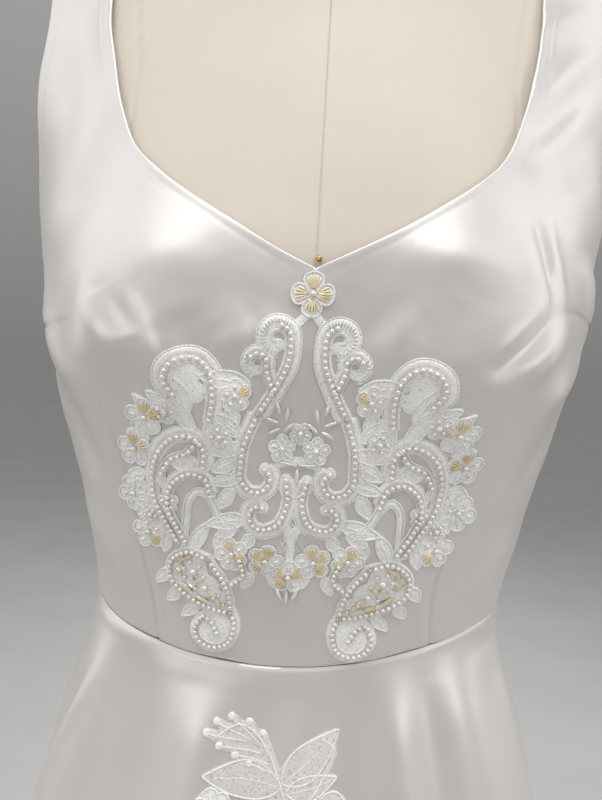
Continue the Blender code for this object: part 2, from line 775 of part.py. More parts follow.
def fan(loop):
    return [(loop[0], loop[i], loop[i + 1]) for i in range(1, len(loop) - 1)]


def on_facets(points, us, vs, u, v):
    """Points on the flat faces between a panel's grid points, as the panel's wall has them."""
    column = np.clip(np.searchsorted(us, u, side="right") - 1, 0, len(us) - 2)
    row = np.clip(np.searchsorted(vs, v, side="right") - 1, 0, len(vs) - 2)
    s = (np.clip((u - us[column]) / (us[column + 1] - us[column]), 0, 1))[:, None]
    t = (np.clip((v - vs[row]) / (vs[row + 1] - vs[row]), 0, 1))[:, None]
    a, b = points[row, column], points[row, column + 1]
    d, c = points[row + 1, column], points[row + 1, column + 1]
    along_ac = np.where(s >= t, a + (b - a) * s + (c - b) * t, a + (d - a) * t + (c - d) * s)
    along_bd = np.where(s + t <= 1, a + (b - a) * s + (d - a) * t, c + (d - c) * (1 - s) + (b - c) * (1 - t))
    shorter = np.sum((a - c) ** 2, axis=1) <= np.sum((b - d) ** 2, axis=1)
    return np.where(shorter[:, None], along_ac, along_bd)


def on_bodice_front(x, z, out):
    """Points over the bodice's front below the neckline, out from its outer face."""
    points = np.zeros((len(x), 3))
    for hand in (1, -1):
        mine = (x >= 0) == (hand == 1)
        angle = hand * front_angle(np.abs(x[mine]), z[mine])
        grid = half_bodice(True, hand)
        turns, heights = grid[..., 0], grid[..., 1]
        panel = moved_out(form_point, turns, heights, undarted_offset(turns, heights) + WALL)
        u = angle / turns[0, -1]
        low = waist_seam(angle) + SEAM_GAP / 2
        straight = (1 - u) * heights[0, 0] + u * heights[0, -1]
        high = (1 - u) * NECK_POINT + u * UNDERARM + 0.5 * (low - straight)
        v = 0.5 * (z[mine] - low) / (high - low)
        points[mine] = on_facets(panel, FRONT_COLUMNS, FRONT_ROWS, u, v)
        points[mine] += normals_of(form_point, angle, z[mine]) * out[mine, None]
    return points


def on_skirt_front(x, z, out):
    """Points over the skirt's front, out from its outer face."""
    half_width, front, _ = (curve(z) for curve in SKIRT_CURVES)
    share = np.abs(x) / half_width
    angle = np.degrees(np.arctan2(x, front * (1 - share ** SECTION_POWER) ** (1 / SECTION_POWER)))
    turns, heights = skirt_grid(*SKIRT_FRONT)
    panel = skirt_wall_point(turns, heights)
    top = waist_seam(angle) - SEAM_GAP / 2
    v = (top - z) / (top + HEM_DROP)
    points = on_facets(panel, turns[0], np.array(SKIRT_ROWS), angle, v)
    return points + normals_of(skirt_point, angle, z) * out[:, None]


def laces():
    lace("bodice_lace", bodice_lace_discs(), on_bodice_front, BODICE_LACE_CELL)
    lace("skirt_lace", skirt_lace_discs(), on_skirt_front, SKIRT_LACE_CELL)


# Dress form
FORM_COLUMNS = 32
FORM_ROWS = [-285, -272, -235, -180, -110, -60, -25, 0, 25, 50, 80, 115, 150, 190, 230, 270, 305, 335, 352, 362, 368, 373,
             378, 383, 388, 393, 398, 404, 411, 420, 440, 480]
NECK_TOP = 480.0


def ringed(name, rings, finish, lift=WAIST_HEIGHT):
    """A closed solid from rings of points, bottom first, each running anticlockwise from above."""
    count = len(rings[0])
    faces = [tuple(reversed(range(count)))]
    for level in range(len(rings) - 1):
        for i in range(count):
            a, b = level * count + i, level * count + (i + 1) % count
            faces.append((a, b, b + count, a + count))
    faces.append(tuple(range((len(rings) - 1) * count, len(rings) * count)))
    return add_object(name, np.vstack(rings), faces, finish, lift)


def form_torso():
    turns = np.linspace(0, 360, FORM_COLUMNS, endpoint=False)
    ringed("form_torso", [form_point(turns, np.full(FORM_COLUMNS, float(z))) for z in FORM_ROWS], MUSLIN)


def turned(name, profile, finish, sides=32, lift=0.0):
    """A turned solid from rows of radius and height, bottom first."""
    turns = np.radians(np.linspace(0, 360, sides, endpoint=False))
    rings = []
    for radius, height in profile:
        rings.append(np.column_stack([radius * np.sin(turns), -radius * np.cos(turns),
                                      np.full(sides, float(height))]))
    return ringed(name, rings, finish, lift)


def neck_cap():
    turns = np.linspace(0, 360, FORM_COLUMNS, endpoint=False)
    rows = ((2.5, 0.3), (2.5, 4.5), (0.0, 7.0), (-8.0, 8.2))
    rings = []
    for spread, height in rows:
        ring_points = form_point(turns, np.full(FORM_COLUMNS, NECK_TOP))
        length = np.linalg.norm(ring_points[:, :2], axis=1, keepdims=True)
        ring_points[:, :2] *= (length + spread) / length
        ring_points[:, 2] = NECK_TOP + height
        rings.append(ring_points)
    ringed("form_neck_cap", rings, PLATE)


PLATE_HEIGHT, PLATE_HALF_HEIGHT, PLATE_HALF_ANGLE = 266.0, 74.0, 10.5
PLATE_THICK = 1.6
PLATE_LIFT = 0.9


def arm_plates():
    """Oval plates that close the armholes of the form."""
    spokes = 20
    for side, name in ((1, "form_arm_plate_right"), (-1, "form_arm_plate_left")):
        angle, height = [90.0], [PLATE_HEIGHT]
        for reach in (0.55, 1.0):
            for spoke in range(spokes):
                way = 2 * math.pi * spoke / spokes
                angle.append(90 + PLATE_HALF_ANGLE * reach * math.cos(way))
                height.append(PLATE_HEIGHT + PLATE_HALF_HEIGHT * reach * math.sin(way))
        faces = [(0, 1 + i, 1 + (i + 1) % spokes) for i in range(spokes)]
        for i in range(spokes):
            a, b = 1 + i, 1 + (i + 1) % spokes
            faces.append((a, a + spokes, b + spokes, b))
        angle, height = np.array(angle) * side, np.array(height)
        if side == -1:
            faces = [tuple(reversed(face)) for face in faces]
        outer = moved_out(form_point, angle, height, PLATE_LIFT + PLATE_THICK)
        inner = moved_out(form_point, angle, height, PLATE_LIFT)
        walled(name, outer, inner, faces, PLATE)


PIN_RADIUS = 1.6


def form_pin():
    """A round-headed pin pushed into the form at the point of the neckline."""
    bmesh_ball = bmesh.new()
    bmesh.ops.create_icosphere(bmesh_ball, subdivisions=2, radius=PIN_RADIUS * MM)
    centre = moved_out(form_point, np.array([0.6]), np.array([NECK_POINT + 4.5]), PIN_RADIUS + 0.35)[0]
    bmesh.ops.translate(bmesh_ball, verts=bmesh_ball.verts,
                        vec=Vector(((centre + np.array([0, 0, WAIST_HEIGHT])) * MM).tolist()))
    mesh = bpy.data.meshes.new("form_pin")
    bmesh_ball.to_mesh(mesh)
    bmesh_ball.free()
    mesh.shade_smooth()
    mesh.materials.append(material(BRASS))
    bpy.context.collection.objects.link(bpy.data.objects.new("form_pin", mesh))


# Stand
POLE_RADIUS = 12.5
BASE_RADIUS = 150.0
HUB_TOP = 44.0
FLANGE_THICK = 6.0


def stand():
    form_bottom = WAIST_HEIGHT + FORM_ROWS[0]
    flange_bottom = form_bottom - SEAM_GAP - FLANGE_THICK
    turned("stand_flange", [(36, flange_bottom), (42, flange_bottom + 2), (42, form_bottom - SEAM_GAP)],
           STAND_METAL)
    turned("stand_pole", [(POLE_RADIUS, HUB_TOP + SEAM_GAP), (POLE_RADIUS, flange_bottom - SEAM_GAP)],
           STAND_METAL, sides=24)
    turned("stand_base", [(BASE_RADIUS - 3, 0), (BASE_RADIUS, 3), (BASE_RADIUS, 9), (BASE_RADIUS - 4, 13),
                          (60, 18), (30, 22), (24, 30), (22, HUB_TOP - 2), (20, HUB_TOP)],
           STAND_METAL, sides=36)


# Zip at the centre back
ZIP_TOP = 297.0
ZIP_SKIRT_ROWS = 5
TAPE_HALF, TAPE_THICK, TAPE_GAP = 11.0, 0.9, 0.45
SLIDER_HEIGHT = 286.0
SLIDER_WIDTH, SLIDER_LENGTH, SLIDER_THICK = 7.0, 10.0, 2.4
BRIDGE_WIDTH, BRIDGE_BAR = 1.6, 1.0
PULL_WIDTH, PULL_LENGTH, PULL_THICK = 5.2, 19.0, 1.0
WINDOW_WIDTH, WINDOW_LENGTH = 2.8, 4.6
BAR_WIDE = 1.2


def zip_tape():
    """The tape lies just under both backs and goes on under the skirt."""
    middle = half_bodice(False, 1)[:, 0, 1]
    skirt_rows = skirt_grid(*SKIRT_BACK_RIGHT)[1][:ZIP_SKIRT_ROWS, -1]
    heights = np.concatenate([skirt_rows[::-1], middle[(middle > 1) & (middle < ZIP_TOP - 5)], [ZIP_TOP]])
    offsets = np.linspace(-TAPE_HALF, TAPE_HALF, 4)
    outer, inner = [], []
    for height in heights:
        surface = skirt_point if height <= 0 else form_point
        radius = float(np.linalg.norm(surface(np.array([180.0]), np.array([height]))[0, :2]))
        angle = 180.0 + np.degrees(offsets / radius)
        level = np.full(4, height)
        inside = -WALL if height <= 0 else CLOTH_EASE
        for made, depth in ((outer, TAPE_GAP), (inner, TAPE_GAP + TAPE_THICK)):
            made.append(moved_out(surface, angle, level, inside - depth))
    walled("zip_tape", np.vstack(outer), np.vstack(inner), grid_faces(len(heights), 4), ZIP_TAPE)


def zip_frame():
    """The centre back's outer face at the slider: a point on it, outward, and up along the cloth."""
    angle, height = np.array([180.0]), np.array([SLIDER_HEIGHT])
    point = bodice_point(angle, height, WALL)[0]
    above = bodice_point(angle, height + 1.0, WALL)[0]
    upward = above - point
    upward /= np.linalg.norm(upward)
    outward = np.cross(upward, np.array([1.0, 0.0, 0.0]))
    return point, outward, upward


def box_points(frame, wide, low_out, high_out, low_up, high_up):
    point, outward, upward = frame
    points = []
    for up in (low_up, high_up):
        for x, out in ((-wide, low_out), (wide, low_out), (wide, high_out), (-wide, high_out)):
            points.append(point + np.array([x, 0, 0]) + outward * out + upward * up)
    return points


def zip_slider():
    """The slider's body with a bridge over a slot, made of one outline across and swept in X."""
    frame = zip_frame()
    point, outward, upward = frame
    low, top = SEAM_GAP, SEAM_GAP + SLIDER_THICK
    body = add_object("zip_slider", box_points(frame, SLIDER_WIDTH / 2, low, top, -SLIDER_LENGTH, 0),
                      [(0, 3, 2, 1), (4, 5, 6, 7), (0, 1, 5, 4), (1, 2, 6, 5), (2, 3, 7, 6), (3, 0, 4, 7)],
                      ZIP_METAL)
    slot_out, slot_up = PULL_THICK + 1.6, BAR_WIDE + 1.8
    foot = 0.6
    outline = [(top - foot, -1.2), (top + slot_out + BRIDGE_BAR, -1.2),
               (top + slot_out + BRIDGE_BAR, -1.2 - 2 * BRIDGE_BAR - slot_up),
               (top - foot, -1.2 - 2 * BRIDGE_BAR - slot_up)]
    slot = [(top - foot, -1.2 - BRIDGE_BAR), (top + slot_out, -1.2 - BRIDGE_BAR),
            (top + slot_out, -1.2 - BRIDGE_BAR - slot_up), (top - foot, -1.2 - BRIDGE_BAR - slot_up)]
    points = []
    for x in (-BRIDGE_WIDTH / 2, BRIDGE_WIDTH / 2):
        points += [point + np.array([x, 0, 0]) + outward * out + upward * up for out, up in outline + slot]
    faces = []
    for i in range(3):
        j = i + 1
        faces.append((i, j, j + 4, i + 4))
        faces.append((i + 8, i + 12, j + 12, j + 8))
        faces.append((i, i + 8, j + 8, j))
        faces.append((i + 4, j + 4, j + 12, i + 12))
    faces += [(0, 4, 12, 8), (3, 11, 15, 7)]
    bridge = add_object("zip_bridge_guide", points, faces, ZIP_METAL)
    bridge.hide_render = True
    bridge.display_type = "WIRE"
    union = body.modifiers.new("bridge", "BOOLEAN")
    union.operation = "UNION"
    union.solver = "EXACT"
    union.object = bridge


def pull_axis():
    """Middle of the pull's top bar, where it turns under the slider's bridge."""
    point, outward, upward = zip_frame()
    out = SEAM_GAP + SLIDER_THICK + 0.5 + PULL_THICK / 2 + 0.3
    return point + outward * out + upward * (-1.2 - BRIDGE_BAR - 0.9 - BAR_WIDE / 2)


def zip_pull():
    """A flat tab with a window round the bridge; it hangs against the dress at rest."""
    _, outward, upward = zip_frame()
    axis = pull_axis()
    half, window = PULL_WIDTH / 2, WINDOW_WIDTH / 2
    top, bar_low = BAR_WIDE / 2, -BAR_WIDE / 2
    window_low = bar_low - WINDOW_LENGTH
    low = -PULL_LENGTH
    flat = [(-half, top), (-window, top), (window, top), (half, top),
            (-half, bar_low), (-window, bar_low), (window, bar_low), (half, bar_low),
            (-half, window_low), (-window, window_low), (window, window_low), (half, window_low),
            (-half * 0.8, low + 2), (-window * 0.8, low), (window * 0.8, low), (half * 0.8, low + 2)]
    faces = [(0, 4, 5, 1), (1, 5, 6, 2), (2, 6, 7, 3), (4, 8, 9, 5), (6, 10, 11, 7),
             (8, 12, 13, 9), (9, 13, 14, 10), (10, 14, 15, 11)]
    outer = np.array([axis + np.array([x, 0, 0]) + upward * up + outward * PULL_THICK / 2 for x, up in flat])
    inner = outer - outward * PULL_THICK
    faces = [tuple(reversed(face)) for face in faces]
    walled("zip_pull", outer, inner, faces, ZIP_METAL)


def build():
    clear_scene()
    form_torso()
    neck_cap()
    arm_plates()
    form_pin()
    stand()
    bodice_front()
    bodice_backs()
    skirt()
    zip_tape()
    zip_slider()
    zip_pull()
    laces()


build()
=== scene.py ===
# Looks of a floor-length satin wedding dress with a beaded lace applique, on a limbless dress form.
# World units are metres. Tables are in millimetres, heights are measured from the waist line,
# and angles are degrees round the body: 0 centre front, 90 its +X side, 180 centre back.

import math
from collections import namedtuple

import bmesh
import bpy
import numpy as np
from mathutils import Matrix, Vector


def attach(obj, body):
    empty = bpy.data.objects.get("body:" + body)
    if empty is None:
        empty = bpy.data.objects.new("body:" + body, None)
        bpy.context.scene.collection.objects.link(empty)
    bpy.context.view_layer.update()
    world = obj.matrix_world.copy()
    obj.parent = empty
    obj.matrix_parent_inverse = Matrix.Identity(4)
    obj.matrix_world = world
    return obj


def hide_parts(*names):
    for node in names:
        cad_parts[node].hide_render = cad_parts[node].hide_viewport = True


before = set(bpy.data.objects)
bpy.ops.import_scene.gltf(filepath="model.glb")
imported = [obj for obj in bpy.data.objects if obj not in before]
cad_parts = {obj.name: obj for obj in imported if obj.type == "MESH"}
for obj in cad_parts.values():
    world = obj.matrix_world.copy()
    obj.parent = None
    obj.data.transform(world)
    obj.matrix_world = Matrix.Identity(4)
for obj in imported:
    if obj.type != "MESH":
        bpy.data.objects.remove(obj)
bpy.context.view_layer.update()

MM = 0.001
WAIST_HEIGHT = 1050.0
HEM_CLEARANCE = 12.0
WALL = 1.5
SEAM_GAP = 0.3
SIDE_SEAM, BACK_OPENING = 0.07, 0.17
CLOTH_EASE = 2.2
SHOULDER_EASE = 1.95
SECTION_POWER = 2.4
HEM_DROP = WAIST_HEIGHT - HEM_CLEARANCE

# Camera: a hand-held close-up, a little above the waist and turned a little
CAMERA_PLACE = (0.0005, -0.379, 1.189)
CAMERA_PITCH, CAMERA_YAW, CAMERA_ROLL = 3.10, -0.84, 3.2
CAMERA_LENS, CAMERA_SENSOR = 26.55, 36.0


def link(thing):
    bpy.context.scene.collection.objects.link(thing)
    return thing


def make_camera():
    pitch, yaw, roll = (math.radians(value) for value in (CAMERA_PITCH, CAMERA_YAW, CAMERA_ROLL))
    ahead = Vector((math.sin(yaw) * math.cos(pitch), math.cos(yaw) * math.cos(pitch), -math.sin(pitch)))
    right = Vector((math.cos(yaw), -math.sin(yaw), 0))
    above = right.cross(ahead)
    across = right * math.cos(roll) + above * math.sin(roll)
    upward = above * math.cos(roll) - right * math.sin(roll)
    data = bpy.data.cameras.new("camera")
    data.lens, data.sensor_width, data.clip_start = CAMERA_LENS, CAMERA_SENSOR, 0.01
    camera = bpy.data.objects.new("camera", data)
    turned = Matrix((across, upward, -ahead)).transposed().to_4x4()
    camera.matrix_world = Matrix.Translation(CAMERA_PLACE) @ turned
    bpy.context.scene.camera = link(camera)


Section = namedtuple("Section", "height half_width front back")
FORM_SECTIONS = [Section(*row) for row in (
    (-285, 112, 80, 90), (-272, 138, 96, 112), (-235, 151, 106, 124), (-180, 154, 109, 127),
    (-120, 148, 106, 119), (-60, 134, 99, 103), (-30, 125, 93, 94), (0, 119, 90, 88), (30, 122, 93, 89),
    (60, 127, 98, 92), (80, 133, 103, 94), (110, 141, 109, 97), (150, 149, 115, 101), (185, 155, 113, 104),
    (220, 161, 104, 105), (260, 164, 90, 103), (300, 168, 75, 97), (335, 168, 62, 87), (355, 166, 56, 79),
    (363, 164, 54, 75), (369, 160, 53, 72), (376, 145, 51, 68), (388, 113, 49, 62), (400, 82, 48, 58),
    (408, 68, 48, 56), (420, 59, 48, 54), (450, 56, 48, 52), (480, 55, 48, 51))]
SKIRT_SECTIONS = [Section(*row) for row in (
    (-1040, 402, 378, 384), (-700, 309, 278, 292), (-400, 229, 192, 208), (-220, 181, 143, 158),
    (-140, 159, 121, 134), (-80, 145, 110, 117), (-40, 133.5, 102, 104), (-18, 126.8, 97.2, 96),
    (0, 122.9, 93.9, 91.9), (10, 122.7, 93.6, 91.6))]


def smooth_curve(places, values):
    """A curve through the given values that never overshoots them."""
    places, values = np.asarray(places, dtype=float), np.asarray(values, dtype=float)
    steps = np.diff(places)
    slopes = np.diff(values) / steps
    tangents = np.zeros(len(places))
    tangents[0], tangents[-1] = slopes[0], slopes[-1]
    same_way = slopes[:-1] * slopes[1:] > 0
    total = np.where(same_way, slopes[:-1] + slopes[1:], 1.0)
    tangents[1:-1] = np.where(same_way, 2 * slopes[:-1] * slopes[1:] / total, 0.0)

    def at(place):
        place = np.asarray(place, dtype=float)
        row = np.clip(np.searchsorted(places, place) - 1, 0, len(steps) - 1)
        t = np.clip((place - places[row]) / steps[row], 0.0, 1.0)
        start = (1 + 2 * t) * (1 - t) ** 2 * values[row] + t * (1 - t) ** 2 * steps[row] * tangents[row]
        end = t * t * (3 - 2 * t) * values[row + 1] + t * t * (t - 1) * steps[row] * tangents[row + 1]
        return start + end

    return at


def section_curves(rows):
    heights = [row.height for row in rows]
    return [smooth_curve(heights, [row[column] for row in rows]) for column in (1, 2, 3)]


FORM_CURVES = section_curves(FORM_SECTIONS)
SKIRT_CURVES = section_curves(SKIRT_SECTIONS)


def smoothstep(low, high, value):
    t = np.clip((value - low) / (high - low), 0.0, 1.0)
    return t * t * (3 - 2 * t)


def bell(value):
    return np.exp(-np.asarray(value) ** 2)


def section_radius(angle, height, curves):
    half_width, front, back = (curve(height) for curve in curves)
    across = np.abs(np.sin(np.radians(angle)))
    along = np.cos(np.radians(angle))
    depth = np.where(along > 0, front, back)
    sum_of_powers = (across / half_width) ** SECTION_POWER + (np.abs(along) / depth) ** SECTION_POWER
    return sum_of_powers ** (-1 / SECTION_POWER)


def on_radius(angle, height, radius):
    turn = np.radians(angle)
    return np.stack([radius * np.sin(turn), -radius * np.cos(turn), height + 0 * radius], axis=-1)


BUST_ANGLE, BUST_HEIGHT, BUST_RISE, BUST_SPREAD, BUST_TALL = 41.0, 152.0, 14.0, 18.0, 46.0


def wrapped(angle):
    return (np.asarray(angle, dtype=float) + 180.0) % 360.0 - 180.0


def form_point(angle, height):
    side = np.abs(wrapped(angle)) - BUST_ANGLE
    bust = BUST_RISE * bell(side / BUST_SPREAD) * bell((height - BUST_HEIGHT) / BUST_TALL)
    return on_radius(angle, height, section_radius(angle, height, FORM_CURVES) + bust)


Flute = namedtuple("Flute", "angle half_angle rise start")
FLUTES = [Flute(*row) for row in (
    (-31, 17, 27, -30), (33, 18, 25, -20), (2, 12, 11, -330), (-64, 14, 22, -120), (66, 14, 24, -90),
    (-93, 13, 20, -160), (95, 13, 19, -200), (-121, 14, 24, -110), (123, 14, 23, -130),
    (-150, 14, 22, -90), (151, 13, 24, -80), (180, 13, 20, -180))]
FLUTE_GROWTH = 1.15


def skirt_point(angle, height):
    rise = np.zeros(np.broadcast(angle, height).shape)
    for flute in FLUTES:
        away = np.minimum(np.abs(wrapped(np.asarray(angle) - flute.angle)) / flute.half_angle, 1)
        grown = np.clip((flute.start - height) / (flute.start + HEM_DROP), 0.0, 1.0) ** FLUTE_GROWTH
        rise += flute.rise * np.cos(away * math.pi / 2) ** 2 * grown
    return on_radius(angle, height, section_radius(angle, height, SKIRT_CURVES) + rise)


def normals_of(surface, angle, height):
    step = 0.05
    across = surface(angle + step, height) - surface(angle - step, height)
    upward = surface(angle, height + step) - surface(angle, height - step)
    normal = np.cross(across, upward)
    return normal / np.linalg.norm(normal, axis=-1, keepdims=True)


def moved_out(surface, angle, height, distance):
    distance = np.asarray(distance)[..., None] if np.ndim(distance) else distance
    return surface(angle, height) + normals_of(surface, angle, height) * distance


WAIST_SIDE, WAIST_FRONT, WAIST_BACK, WAIST_TILT = 8.0, -9.0, 0.0, 5.0


def waist_seam(angle):
    middle = np.cos(np.radians(angle))
    dip = np.where(middle > 0, WAIST_SIDE - WAIST_FRONT, WAIST_SIDE - WAIST_BACK)
    return WAIST_SIDE - dip * middle ** 2 + WAIST_TILT * np.sin(np.radians(angle))


# Folds and creases of the bodice: each a soft ridge, or a trough where its rise is below zero
Fold = namedtuple("Fold", "angle_a height_a angle_b height_b half_width rise")
MM_PER_DEGREE = 2.1
BODICE_FOLDS = [Fold(*row) for row in (
    (-66, 178, -55, 128, 9, 3.0), (-78, 150, -70, 110, 8, 2.0), (64, 196, 74, 160, 8, 3.5),
    (50, 128, 68, 152, 8, 2.5), (112, 150, 100, 120, 10, 2.5), (-114, 140, -102, 112, 10, 2.5),
    (150, 30, 112, 22, 8, 2.0), (-148, 26, -110, 18, 8, 2.0), (-83, 225, -81, 345, 15, 4.5),
    (84, 240, 82, 345, 13, 2.5))]
CREASES = [Fold(*row) for row in (
    (-36, 170, -35, 140, 24, 1.6), (-40, 168, -34, 150, 7, -2.8), (-34, 150, -36, 124, 7, -2.2),
    (-46, 176, -40, 142, 8, 1.2), (-28, 158, -30, 132, 9, 1.4), (-29, 160, -20, 140, 10, -3.0),
    (-20, 140, -12, 134, 8, -2.2), (-31, 182, -8, 176, 9, 1.0), (-13, 162, -4, 150, 7, 1.4),
    (51, 212, 48.5, 174, 3.5, 1.5), (47.8, 210, 46.6, 174, 2.6, -2.0), (44, 206, 43, 172, 6, 1.1),
    (45.5, 168, 36, 144, 4, -2.6), (50, 164, 40, 138, 6, 1.8), (41, 170, 32, 150, 8, 1.0),
    (30, 172, 24, 150, 8, -1.6), (22, 176, 13, 156, 8, -1.5), (24, 194, 36, 186, 9, 1.3),
    (17, 172, 19, 150, 6, 0.8),
    (-44, 128, -40, 96, 9, -1.6), (44, 130, 42, 98, 9, -1.4), (56, 150, 47, 118, 7, 1.2),
    (62, 120, 54, 80, 9, -1.8), (-58, 118, -52, 76, 9, -1.8), (-66, 62, -50, 26, 8, 1.6),
    (62, 58, 47, 22, 8, 1.6),
    (-30, 8, -12, 2, 8, 1.2), (14, 4, 33, 9, 8, 1.2), (-14, 30, -30, 14, 8, -1.6),
    (10, 24, 27, 12, 8, -1.6),
    (72, 314, 53, 270, 5, 1.9), (70, 297, 54, 257, 5, -1.6), (69, 282, 51, 242, 6, 1.7),
    (72, 336, 63, 322, 5, 1.5),
    (61, 330, 58, 304, 5, -1.1), (75, 212, 58, 200, 8, -1.6), (66, 244, 54, 226, 6, -1.0),
    (-62, 222, -48, 208, 10, -1.2), (-60, 266, -54, 232, 9, 1.2), (-70, 318, -62, 282, 5, 0.9),
    (-72, 300, -64, 262, 5, -0.8))]


def ridge_between(angle, height, fold):
    """A fold's strength: most at the middle of its line, fading to its ends and away to its sides."""
    start = np.array([fold.angle_a * MM_PER_DEGREE, fold.height_a])
    run = np.array([fold.angle_b * MM_PER_DEGREE, fold.height_b]) - start
    across = wrapped(angle) * MM_PER_DEGREE - start[0]
    along = np.asarray(height) - start[1]
    t = np.clip((across * run[0] + along * run[1]) / (run @ run), 0.0, 1.0)
    distance = np.hypot(across - t * run[0], along - t * run[1])
    return bell(distance / fold.half_width) * np.sin(math.pi * (0.15 + 0.7 * t))


# Sewn darts: a groove along a line of angles and heights, with its folded allowance on one side
Dart = namedtuple("Dart", "line allowance")
DARTS = [
    Dart([(-41.4, -9), (-43.6, 36), (-44.3, 89), (-45.0, 128)], 8),
    Dart([(41.2, -9), (38.4, 26), (37.0, 105), (36.4, 130)], -8),
    Dart([(-92, 152), (-62, 154), (-44, 156)], -9),
    Dart([(92, 168), (60, 173), (45, 171)], 9),
    Dart([(-128, -9), (-131, 60), (-133, 150)], 7),
    Dart([(128, -9), (131, 60), (133, 150)], -7),
]
DART_DEPTH, DART_WIDTH, DART_ALLOWANCE = 0.75, 0.8, 0.3
DART_DIP, DART_DIP_WIDTH, DART_FADE = 0.5, 5.0, 0.75


def dart_relief(angle, height):
    x, z = wrapped(angle) * MM_PER_DEGREE, np.asarray(height, dtype=float)
    relief = np.zeros(np.broadcast(x, z).shape)
    for dart in DARTS:
        line = np.array(dart.line) * np.array([MM_PER_DEGREE, 1.0])
        lengths = np.linalg.norm(np.diff(line, axis=0), axis=1)
        total, gone = lengths.sum(), 0.0
        nearest = np.full(relief.shape, 1e9)
        side, along = np.zeros(relief.shape), np.zeros(relief.shape)
        for a, b, length in zip(line, line[1:], lengths):
            way = (b - a) / length
            t = np.clip((x - a[0]) * way[0] + (z - a[1]) * way[1], 0, length)
            distance = np.hypot(x - a[0] - t * way[0], z - a[1] - t * way[1])
            closer = distance < nearest
            signed = (x - a[0]) * way[1] - (z - a[1]) * way[0]
            nearest = np.where(closer, distance, nearest)
            side = np.where(closer, signed, side)
            along = np.where(closer, (gone + t) / total, along)
            gone += length
        strength = 1 - smoothstep(DART_FADE, 1.0, along)
        width = abs(dart.allowance)
        over = side * math.copysign(1, dart.allowance)
        flat = smoothstep(0, 1.2, over) * (1 - smoothstep(width * 0.8, width, over)) * (nearest < width * 1.2)
        relief += strength * (DART_ALLOWANCE * flat - DART_DEPTH * bell(nearest / DART_WIDTH)
                              - DART_DIP * bell(nearest / DART_DIP_WIDTH))
    return relief


# Unevenness of the cloth, and the share of it that sewing the applique adds
UNEVEN, SEWN_WIDE, SEWN_FINE = 0.60, 1.15, 0.50


def undulation(angle, height):
    """Faint unevenness of the cloth, larger where it is sewn to the applique."""
    x, z = wrapped(angle) * MM_PER_DEGREE, height
    wide = np.sin(x * 0.11 + 0.6 * np.sin(z * 0.05)) * np.sin(z * 0.07 + 0.9 * np.sin(x * 0.04 + 1.3))
    fine = np.sin(x * 0.31 + 1.1 * np.sin(z * 0.17 + 2.0)) * np.sin(z * 0.27 + 0.8 * np.sin(x * 0.21))
    sewn = bell(x / 95) * bell((z - 85) / 70)
    return UNEVEN * wide + sewn * (SEWN_WIDE * wide + SEWN_FINE * fine)


# Fullness over the waist at the front; the least clearance of cloth from the form, and how softly it holds
PUFF_RISE, PUFF_HEIGHT, PUFF_TALL = 3.0, 52.0, 30.0
LEAST_CLEAR, CLEAR_SOFT = 0.35, 0.6


def cloth_offset(angle, height):
    """How far the bodice's inner face stands off the form."""
    ease = CLOTH_EASE + (SHOULDER_EASE - CLOTH_EASE) * smoothstep(300, 352, height)
    folds = sum(fold.rise * ridge_between(angle, height, fold) for fold in BODICE_FOLDS + CREASES)
    frontal = 0.5 + 0.5 * np.cos(np.radians(wrapped(angle)))
    puff = PUFF_RISE * bell((height - PUFF_HEIGHT) / PUFF_TALL) * frontal
    return ease + LEAST_CLEAR + folds + puff + dart_relief(angle, height) + undulation(angle, height)


def bodice_point(angle, height, out=0.0):
    clear = cloth_offset(angle, height) - LEAST_CLEAR
    held_off = LEAST_CLEAR + 0.5 * (clear + np.sqrt(clear ** 2 + CLEAR_SOFT))
    return moved_out(form_point, angle, height, held_off + out)


# Edges of the bodice's panels
STRAP_INNER, STRAP_OUTER, LEFT_NECK_WIDER = 118.0, 160.0, 1.045
UNDERARM, NECK_POINT, BACK_NECK = 178.0, 183.0, 300.0
FRONT_NECK = [(0, NECK_POINT), (19, 192), (37, 202), (55.5, 214), (73.5, 227), (88, 241), (97.5, 260),
              (107, 290), (113.5, 315), (117, 341), (STRAP_INNER, 362)]
BACK_NECK_ROWS = [(0, BACK_NECK), (30, 302), (62, 310), (88, 325), (106, 345), (115, 364)]
ARMHOLE = [(0, UNDERARM), (8, 185), (11.5, 204), (13, 240), (13, 282), (12, 320), (10, 345), (7, 358)]
# Share of a panel's rows up to the neck's lowest point, front and back, and up to the underarm
NECK_SHARE, UNDERARM_SHARE = {True: 0.5, False: 0.62}, 0.5


def front_angle(half_x, height, back=False):
    """The angle of a point of the cloth at a given distance from the centre line."""
    half_width, front, rear = (curve(height) for curve in FORM_CURVES)
    stand_off = CLOTH_EASE + WALL
    share = np.clip(half_x / (half_width + stand_off), 0.0, 1.0)
    depth = ((rear if back else front) + stand_off) * (1 - share ** SECTION_POWER) ** (1 / SECTION_POWER)
    angle = np.degrees(np.arctan2(half_x, depth))
    return 180.0 - angle if back else angle


def ridge_height(half_x):
    heights = np.linspace(363, 420, 400)
    return np.interp(half_x, FORM_CURVES[0](heights)[::-1], heights[::-1])


def evenly(path, count=240):
    """An edge as a function of 0 to 1, by length along the cloth."""
    path = np.asarray(path, dtype=float)
    places = np.arange(len(path))
    fine = np.linspace(0, len(path) - 1, count)
    angle = smooth_curve(places, path[:, 0])(fine)
    height = smooth_curve(places, path[:, 1])(fine)
    steps = np.linalg.norm(np.diff(form_point(angle, height), axis=0), axis=1)
    length = np.concatenate([[0.0], np.cumsum(steps)])
    length /= length[-1]
    return lambda t: np.stack([np.interp(t, length, angle), np.interp(t, length, height)], axis=-1)


def upright(angle, low, high):
    return lambda t: np.stack([angle + 0 * t, low + (high - low) * t], axis=-1)


